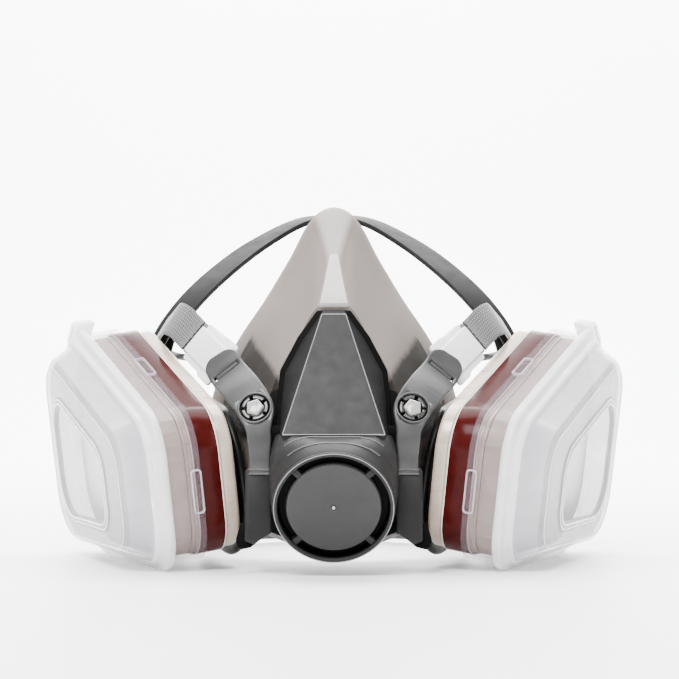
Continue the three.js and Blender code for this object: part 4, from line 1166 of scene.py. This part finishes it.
def make_retainer_shell():
    """The clear shell round its window: skirt, ridge, side and front plate, each with its own finish."""
    outer = cartridge_rings(eased(RETAINER_OUTER, 0.9, 5))
    inner = cartridge_rings(eased(RETAINER_INNER, 0.6, 3))
    rim = [(3.4, 41.0), (3.0, 41.08), (2.5, 41.55), (2.1, 41.7), (1.5, 41.7), (1.1, 41.5), (0.8, 41.05),
           (0.35, 40.95), (0.0, 40.7), (0, 40.0), (0.3, 39.65), (0.8, 39.6)]
    window = [lifted(window_outline(grow), depth) for grow, depth in rim]
    front, back = between_rings(outer[-1], window[0], 6), between_rings(window[-1], inner[0], 6)
    rings = [*outer, *front, *window, *back, *inner]
    shell = lofted("shell", rings, CARTRIDGE, DOME, closed=True)
    for material in (SKIRT, RIDGE, DOME_SIDE):
        shell.data.materials.append(material)
    to_local = (METRES @ STAND @ CARTRIDGE).inverted()
    for face in shell.data.polygons:
        depth = (to_local @ face.center).z
        if depth < SIDE_TOP:
            face.material_index = 1 if depth < SKIRT_TOP else 2 if depth < RIDGE_TOP else 3
    return shell


def make_clips():
    """The snap clips: one on each long side of the skirt, and one at its front."""
    x = CLIP_PLACE * LENGTH
    y, slope = FRONT_HEIGHT / 2 + EDGE_SLOPE * x + 2.5, math.atan(EDGE_SLOPE)
    clips = []
    for x, y, turn, way in ((x, -y, -slope, 1), (x, y, slope, -1), (-2.5, 0, -math.pi / 2, 1)):
        at = CARTRIDGE @ Matrix.Translation((x, y, CLIP_DEPTH)) @ Matrix.Rotation(turn, 4, "Z")
        clips.append(make_clip(at @ Matrix.Rotation(way * math.pi / 2, 4, "X")))
    return clips


def make_retainer():
    pieces = [make_retainer_shell(), *make_rim_lines(), *make_clips(), make_pull_tab()]
    return joined("filter_retainer_right", pieces)


def closed_line(name, ring, radius, material):
    return bead(name, [*ring, ring[0]], radius, CARTRIDGE, material)


def make_rim_lines():
    """The window's raised double rim as light highlight lines, dark lines painted as the shade of the groove
    round it, and a light line painted as the highlight on the soft crease of the front plate.
    """
    pieces = []
    for grow, z, radius, look in ((1.0, 41.62, 0.3, RIM_HIGHLIGHT), (2.6, 41.45, 0.28, RIM_HIGHLIGHT),
                                  (3.5, 41.02, 0.22, RIM_SHADE), (0.2, 40.9, 0.25, RIM_SHADE)):
        pieces.append(closed_line("rim", lifted(window_outline(grow), z), radius, look))
    pieces.append(closed_line("crease", cartridge_rings([(-6.2, 40.95)])[0], 0.24, RIDGE))
    return pieces


def make_pull_tab():
    """The thumb tab on the retainer's ridge, at the upper rear corner."""
    corner = Vector((LENGTH - 1.6, REAR_HEIGHT / 2 - 1.6))
    out = Vector((0.62, 0.78)).normalized()
    across = Vector((-out.y, out.x))
    lobe = ((-3.2, -11), (1.2, -6), (1.2, 6), (-3.2, 11))
    outline = [corner + out * a + across * b for a, b in lobe]
    return slab("tab", rounded_polygon(outline, [1, 5, 5, 1], 8), 20.2, 28.4, CARTRIDGE, RIDGE, 1.5)


def make_clip(at):
    """A snap clip: a low frame lying on the skirt, with local z out of it."""
    outside, inside = box_outline(16, 4.0, radius=1.3), box_outline(14.9, 2.9, radius=1.0)
    return holed_slab("clip", outside, inside, -0.4, 0.75, at, CLIP, 0.25)


# ---------------------------------------------------------------- head harness

BUCKLE_AT, BUCKLE_TO = Vector((37.4, -15.8, 64.4)), Vector((51.4, 4, 76.9))
BUCKLE_ACROSS = Vector((0.62, 0.02, -0.78))
BUCKLE_LENGTH = (BUCKLE_TO - BUCKLE_AT).length
BUCKLE_WIDTH, BUCKLE_WING = WEB_WIDTH + 2.6, 18
CRADLE_END, EYE_ACROSS = (66.6, 64, 72.6), (0.5, 0, -0.86)
STRAP_TAIL = [(44.4, -0.9, 70.9), (49.5, 6.3, 75.5), (50.9, 8.3, 76.8)]
UPPER_STRAP = [
    (51.5, 9.2, 77.3), (53, 11.3, 78.7), (57, 15.4, 82.4), (59.8, 19.6, 83.4),
    (60.6, 27, 83.2), (63.8, 44, 80), (66.8, 53.4, 76.6), (68.7, 60, 73.9),
]
FRONT_BAND = [
    (67.2, 66, 71), (66, 67.6, 75), (57.4, 74, 87.4), (45, 84, 99.8), (29.4, 98, 111.6), (12, 110, 120.4),
    (0, 111.5, 121.4),
]
REAR_BAND = [(67.2, 67, 71), (64, 77, 68), (53, 96, 65), (37, 112, 63), (19, 121, 61.8), (0, 124, 61.4)]
NECK_CLASP_Y, NECK_CLASP_Z = 104, -0.9
NECK_STRAP = [
    (50.1, 41.3, 8.3), (51, 52, 5), (47.4, 68, 2.2), (37.5, 84, 0.4), (24, 97, -0.5),
    (13.4, NECK_CLASP_Y, NECK_CLASP_Z),
]


def buckle_frame():
    y = (BUCKLE_TO - BUCKLE_AT).normalized()
    x = (BUCKLE_ACROSS - y * BUCKLE_ACROSS.dot(y)).normalized()
    return basis(x, y, x.cross(y), BUCKLE_AT)


BUCKLE = buckle_frame()


def make_buckle():
    """Two layers: a broad base plate with wings, and a raised plate over the webbing, with a bar behind."""
    end = BUCKLE_LENGTH
    half, wing = BUCKLE_WIDTH / 2, BUCKLE_WING / 2
    right = [(wing, 6.2), (wing, 13.5), (half, 15.2), (half, end - 1.5)]
    base = rounded_polygon([(-wing, 6.2), *right, *[(-x, y) for x, y in right[:0:-1]]],
                           [1.4, 1.4, 1.4, 1.6, 0.8, 0.8, 1.6, 1.4], 6)
    inner = half - 2.4
    face = [(-inner, 5.2), (inner, 5.2), (inner, end), (-inner, end)]
    pieces = [
        slab("base", base, -1.9, -0.7, BUCKLE, WHITE, 0.35),
        slab("face", rounded_polygon(face, [1.0, 1.0, 0.9, 0.9], 6), -2.4, 0.1, BUCKLE, WHITE, 0.35),
        slab("bar", box_outline(BUCKLE_WIDTH, 3, 0, end - 6, 0.5), -5.8, -4.4, BUCKLE, WHITE, 0.4),
        slab("tongue", box_outline(9.4, 8.4, 0, 3, 0.8), -2.2, -0.4, BUCKLE, WHITE, 0.3),
    ]
    for side in (-1, 1):
        cheek = box_outline(0.9, 6, side * (half - 0.45), end - 6, 0.3)
        pieces.append(slab("cheek", cheek, -5.6, -1.2, BUCKLE, WHITE, 0.15))
    slot = arm_frame(SLOT_STATION)
    pieces.append(slab("hook", box_outline(9.2, 1.5, -0.3, 0, 0.3), -1.0, 3.4, slot, YOKE, 0.2))
    pieces.append(slab("backing", box_outline(10.6, 3.2, 0, 0, 0.5), 1.4, 2.2, slot, BLACK, 0.2))
    return joined("strap_buckle_right", pieces)


def weave(across, along):
    """Relief of zigzag elastic webbing, from 0 in a gap to 1 on a yarn."""
    zigzag = abs((across / 1.1) % 2 - 1)
    rib = 0.5 + 0.5 * math.cos(2 * math.pi * (along / 0.95 + 0.8 * zigzag))
    column = 0.7 + 0.3 * math.cos(2 * math.pi * across / 1.1)
    return rib * column


def make_webbing(name, path, up, step=0.19, columns=60):
    """Woven webbing along a path, with its zigzag yarns in relief."""
    _, length = stations_of(path, up, 8)
    stations, length = stations_of(path, up, max(8, int(length / step)))
    relief, rings, yarn = 0.22, [], []
    for i, (centre, side, face) in enumerate(stations):
        ring = []
        for surface in (1, -1):
            for j in range(columns + 1):
                across = (j / columns - 0.5) * WEB_WIDTH * surface
                edge = max(0, abs(across) - (WEB_WIDTH / 2 - 0.8)) / 0.8
                height = weave(across + 0.4, length * i / (len(stations) - 1) * surface)
                selvage = 0.55 * edge ** 2
                raised = (WEB_THICK / 2 - relief * (1 - height)) * (1 - selvage)
                ring.append(centre + side * across + face * (surface * raised))
                yarn.append(height * (1 - 0.4 * edge))
        rings.append(ring)
    points, faces = loft(rings)
    mesh_points = [METRES @ STAND @ Vector(p) for p in points]
    mesh = bpy.data.meshes.new(name)
    mesh.from_pydata(mesh_points, [], faces)
    mesh.attributes.new("yarn", "FLOAT", "POINT").data.foreach_set("value", yarn)
    turned_out(mesh)
    smoothed(mesh, WEB, math.radians(70))
    return linked(name, mesh)


def band_section(width):
    """A moulded strip's section: rails along both edges and a shallow web between them."""
    w, rail = width / 2, width * 0.17
    right = [(w, -1.0), (w, 1.0), (w - rail, 1.1), (w - rail - 0.8, 0.55)]
    left = [(-x, y) for x, y in right[::-1]]
    return [(p.x, p.y) for p in eased([left[-1], *right, *left[:-1]], 0.45, 3, True)]


def full_band(half):
    return [Vector(p) for p in half] + [Vector((-x, y, z)) for x, y, z in half[-2::-1]]


def make_cradle():
    """The head cradle: a front and a rear band that meet at an eye on each side."""
    def front_up(t):
        side = 1 - 2 * t
        share = abs(side)
        return Vector((0.8 * side, 0.98 - 0.78 * share, 0.07 + 0.48 * share)).normalized()

    pieces = []
    for half, up in ((FRONT_BAND, front_up), (REAR_BAND, lambda t: Vector((0, 1, -0.1)))):
        stations, _ = stations_of(full_band(half), up, 150)
        rings = sweep(stations, lambda t: band_section(8.6 + 2.4 * math.sin(math.pi * t)))
        pieces.append(lofted("band", rings, UPRIGHT, CRADLE))
    across = Vector(EYE_ACROSS).normalized()
    out = -across.cross(Vector((0, 1, 0)))
    at = basis(across, out.cross(across), out, CRADLE_END)
    slot = box_outline(WEB_WIDTH + 0.8, 3.6, 0, 3, 1.2)
    eye = holed_slab("eye", box_outline(19, 15, radius=3.2), slot, -1.2, 1.2, at, CRADLE, 0.5)
    pieces += [eye, mirrored(eye, "eye_left")]
    return joined("head_cradle", pieces)


def make_clasp():
    """The neck clasp: a hook with a tongue and two grips, and the loop that it catches."""
    at = basis((1, 0, 0), (0, 0, 1), (0, -1, 0), (0, NECK_CLASP_Y, NECK_CLASP_Z))
    tongue = rounded_polygon([(-12, -2.6), (0, -3.5), (0, 3.5), (-12, 2.6)], [1.2, 0.5, 0.5, 1.2], 6)
    hook = [
        slab("plate", box_outline(15, 15, 5.5, 0, 2.2), 1.2, 3.4, at, COVER, 0.5),
        slab("tongue", tongue, 1.4, 3.2, at, COVER, 0.4),
    ]
    for x in (8.5, 5.5):
        hook.append(slab("grip", box_outline(1.2, 11, x, 0, 0.5), 3.0, 3.9, at, COVER, 0.3))
    outside, hole = box_outline(17, 15, -4.5, 0, 2.2), box_outline(2.4, 9, -9, 0, 0.8)
    return joined("clasp_hook", hook), holed_slab("clasp_loop", outside, hole, -2.6, -0.4, at, COVER, 0.5)


# ---------------------------------------------------------------- nodes that keep their shape


def dress(node, material, bevel=0.2):
    """A new finish and rounded edges for a node whose shape is kept."""
    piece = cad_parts[node]
    piece.data.materials.clear()
    smoothed(piece.data, material, math.radians(32))
    rounding = piece.modifiers.new("edges", "BEVEL")
    rounding.width, rounding.segments = bevel * 0.001, 2
    rounding.limit_method, rounding.angle_limit = "ANGLE", math.radians(40)


def dress_kept_nodes():
    dress("faceplate", BLACK, 0.4)
    dress("exhalation_seat", WHITE)
    dress("exhalation_valve", SILICONE, 0.1)
    for side in SIDES:
        dress(f"port_gasket_{side}", SILICONE, 0.2)
        dress(f"inhalation_seat_{side}", WHITE, 0.15)
        dress(f"inhalation_valve_{side}", SILICONE, 0.1)
        dress(f"carbon_bed_{side}", CARBON, 0.4)
        dress(f"cartridge_lid_{side}", LID, 0.25)


# ---------------------------------------------------------------- assembly


def assemble():
    settle(make_face_seal(), "facepiece", "seal_rubber", "face_seal")
    settle(make_front_cover(), "facepiece", "front_plastic", "front_cover")
    settle(make_cover_shadow_line(), "facepiece", "port_plastic")
    settle(make_bore_shade_liner(), "facepiece", "port_plastic")
    settle(make_exhalation_cover(), "exhalation_cover", "front_plastic", "exhalation_cover")
    settle(make_yoke(), "facepiece", "front_plastic", "harness_yoke")
    settle_pair(make_stud(), "facepiece", "stud_plastic", "retaining_stud")
    settle_pair(make_port(), "facepiece", "port_plastic", "inhalation_port")
    settle_pair(make_cartridge_body(), "cartridge_", "cartridge_plastic", "cartridge_body")
    settle_pair(make_band(), "cartridge_", "band_foil", "cartridge_label")
    settle_pair(make_prefilter(), "retainer_", "filter_felt", "prefilter")
    settle_pair(make_retainer(), "retainer_", "retainer_plastic", "filter_retainer")
    settle_pair(make_buckle(), "buckles", "white_plastic", "strap_buckle")
    tail = make_webbing("strap_tail_right", STRAP_TAIL, lambda t: BUCKLE_ACROSS)
    settle_pair(tail, "buckles", "webbing", "strap_tail")
    strap = make_webbing("upper_strap_right", UPPER_STRAP, blend_of(BUCKLE_ACROSS, EYE_ACROSS))
    settle_pair(strap, "head_harness", "webbing", "upper_strap")
    settle(make_cradle(), "head_harness", "cradle_plastic", "head_cradle")
    neck = make_webbing("neck_strap_right", NECK_STRAP, lambda t: Vector((0, 0, 1)))
    settle_pair(neck, "neck_strap", "webbing", "neck_strap")
    hook, loop = make_clasp()
    settle(hook, "neck_strap", "front_plastic", "clasp_hook")
    settle(loop, "neck_strap", "front_plastic", "clasp_loop")
    dress_kept_nodes()


# ---------------------------------------------------------------- studio


def area_light(name, place, target, size, power):
    """A white rectangular light at a place, turned towards its target."""
    data = bpy.data.lights.new(name, "AREA")
    data.shape, data.size, data.size_y, data.energy = "RECTANGLE", *size, power
    lamp = linked(name, data)
    lamp.location = place
    lamp.rotation_euler = (Vector(target) - Vector(place)).to_track_quat("-Z", "Y").to_euler()


def make_floor():
    """A pale sweep: a flat floor that curves up into a backdrop."""
    turns = [math.pi / 2 * k / 16 for k in range(1, 17)]
    curve = [(0.9 + 0.6 * math.sin(a), 0.6 - 0.6 * math.cos(a)) for a in turns]
    profile = [(-1.6, 0.0), (0.9, 0.0), *curve, (1.5, 2.4)]
    points = [(x, y, z) for y, z in profile for x in (-2.5, 2.5)]
    faces = [(2 * i, 2 * i + 1, 2 * i + 3, 2 * i + 2) for i in range(len(profile) - 1)]
    mesh = bpy.data.meshes.new("floor")
    mesh.from_pydata(points, [], faces)
    mesh.polygons.foreach_set("use_smooth", [True] * len(mesh.polygons))
    paint = Painter("floor_white", Roughness=0.4)
    white = paint.ramp(paint.noise(3, 2), (0.3, 0.90), (0.7, 0.92))
    paint.set(paint.shader, Base_Color=white, Emission_Color=white, Emission_Strength=0.25)
    mesh.materials.append(paint.material)
    linked("floor", mesh)


def make_studio():
    make_floor()
    world = bpy.data.worlds.new("studio")
    world.use_nodes = True
    background = world.node_tree.nodes["Background"].inputs
    background["Color"].default_value, background["Strength"].default_value = (1, 1, 1, 1), 0.5
    bpy.context.scene.world = world
    middle = (0, -0.03, 0.06)
    area_light("key", (-0.2, -0.85, 0.95), middle, (0.7, 0.5), 38)
    area_light("strip_left", (-0.8, -0.6, 0.25), middle, (0.12, 0.9), 5)
    area_light("strip_right", (0.8, -0.6, 0.25), middle, (0.12, 0.9), 5)
    area_light("top", (0, 0.15, 1.1), middle, (1.0, 0.6), 30)
    area_light("backdrop", (0, 0.55, 1.0), (0, 1.4, 0.15), (1.6, 0.4), 130)
    data = bpy.data.cameras.new("camera")
    data.sensor_width, data.lens = 36, 138.5
    camera = linked("camera", data)
    target, distance, elevation = Vector((0.0020, -0.03273, 0.08178)), 0.95, math.radians(0.25)
    camera.location = target + Vector((0, -math.cos(elevation), math.sin(elevation))) * distance
    camera.rotation_euler = (target - camera.location).to_track_quat("-Z", "Y").to_euler()
    bpy.context.scene.camera = camera


make_studio()
assemble()
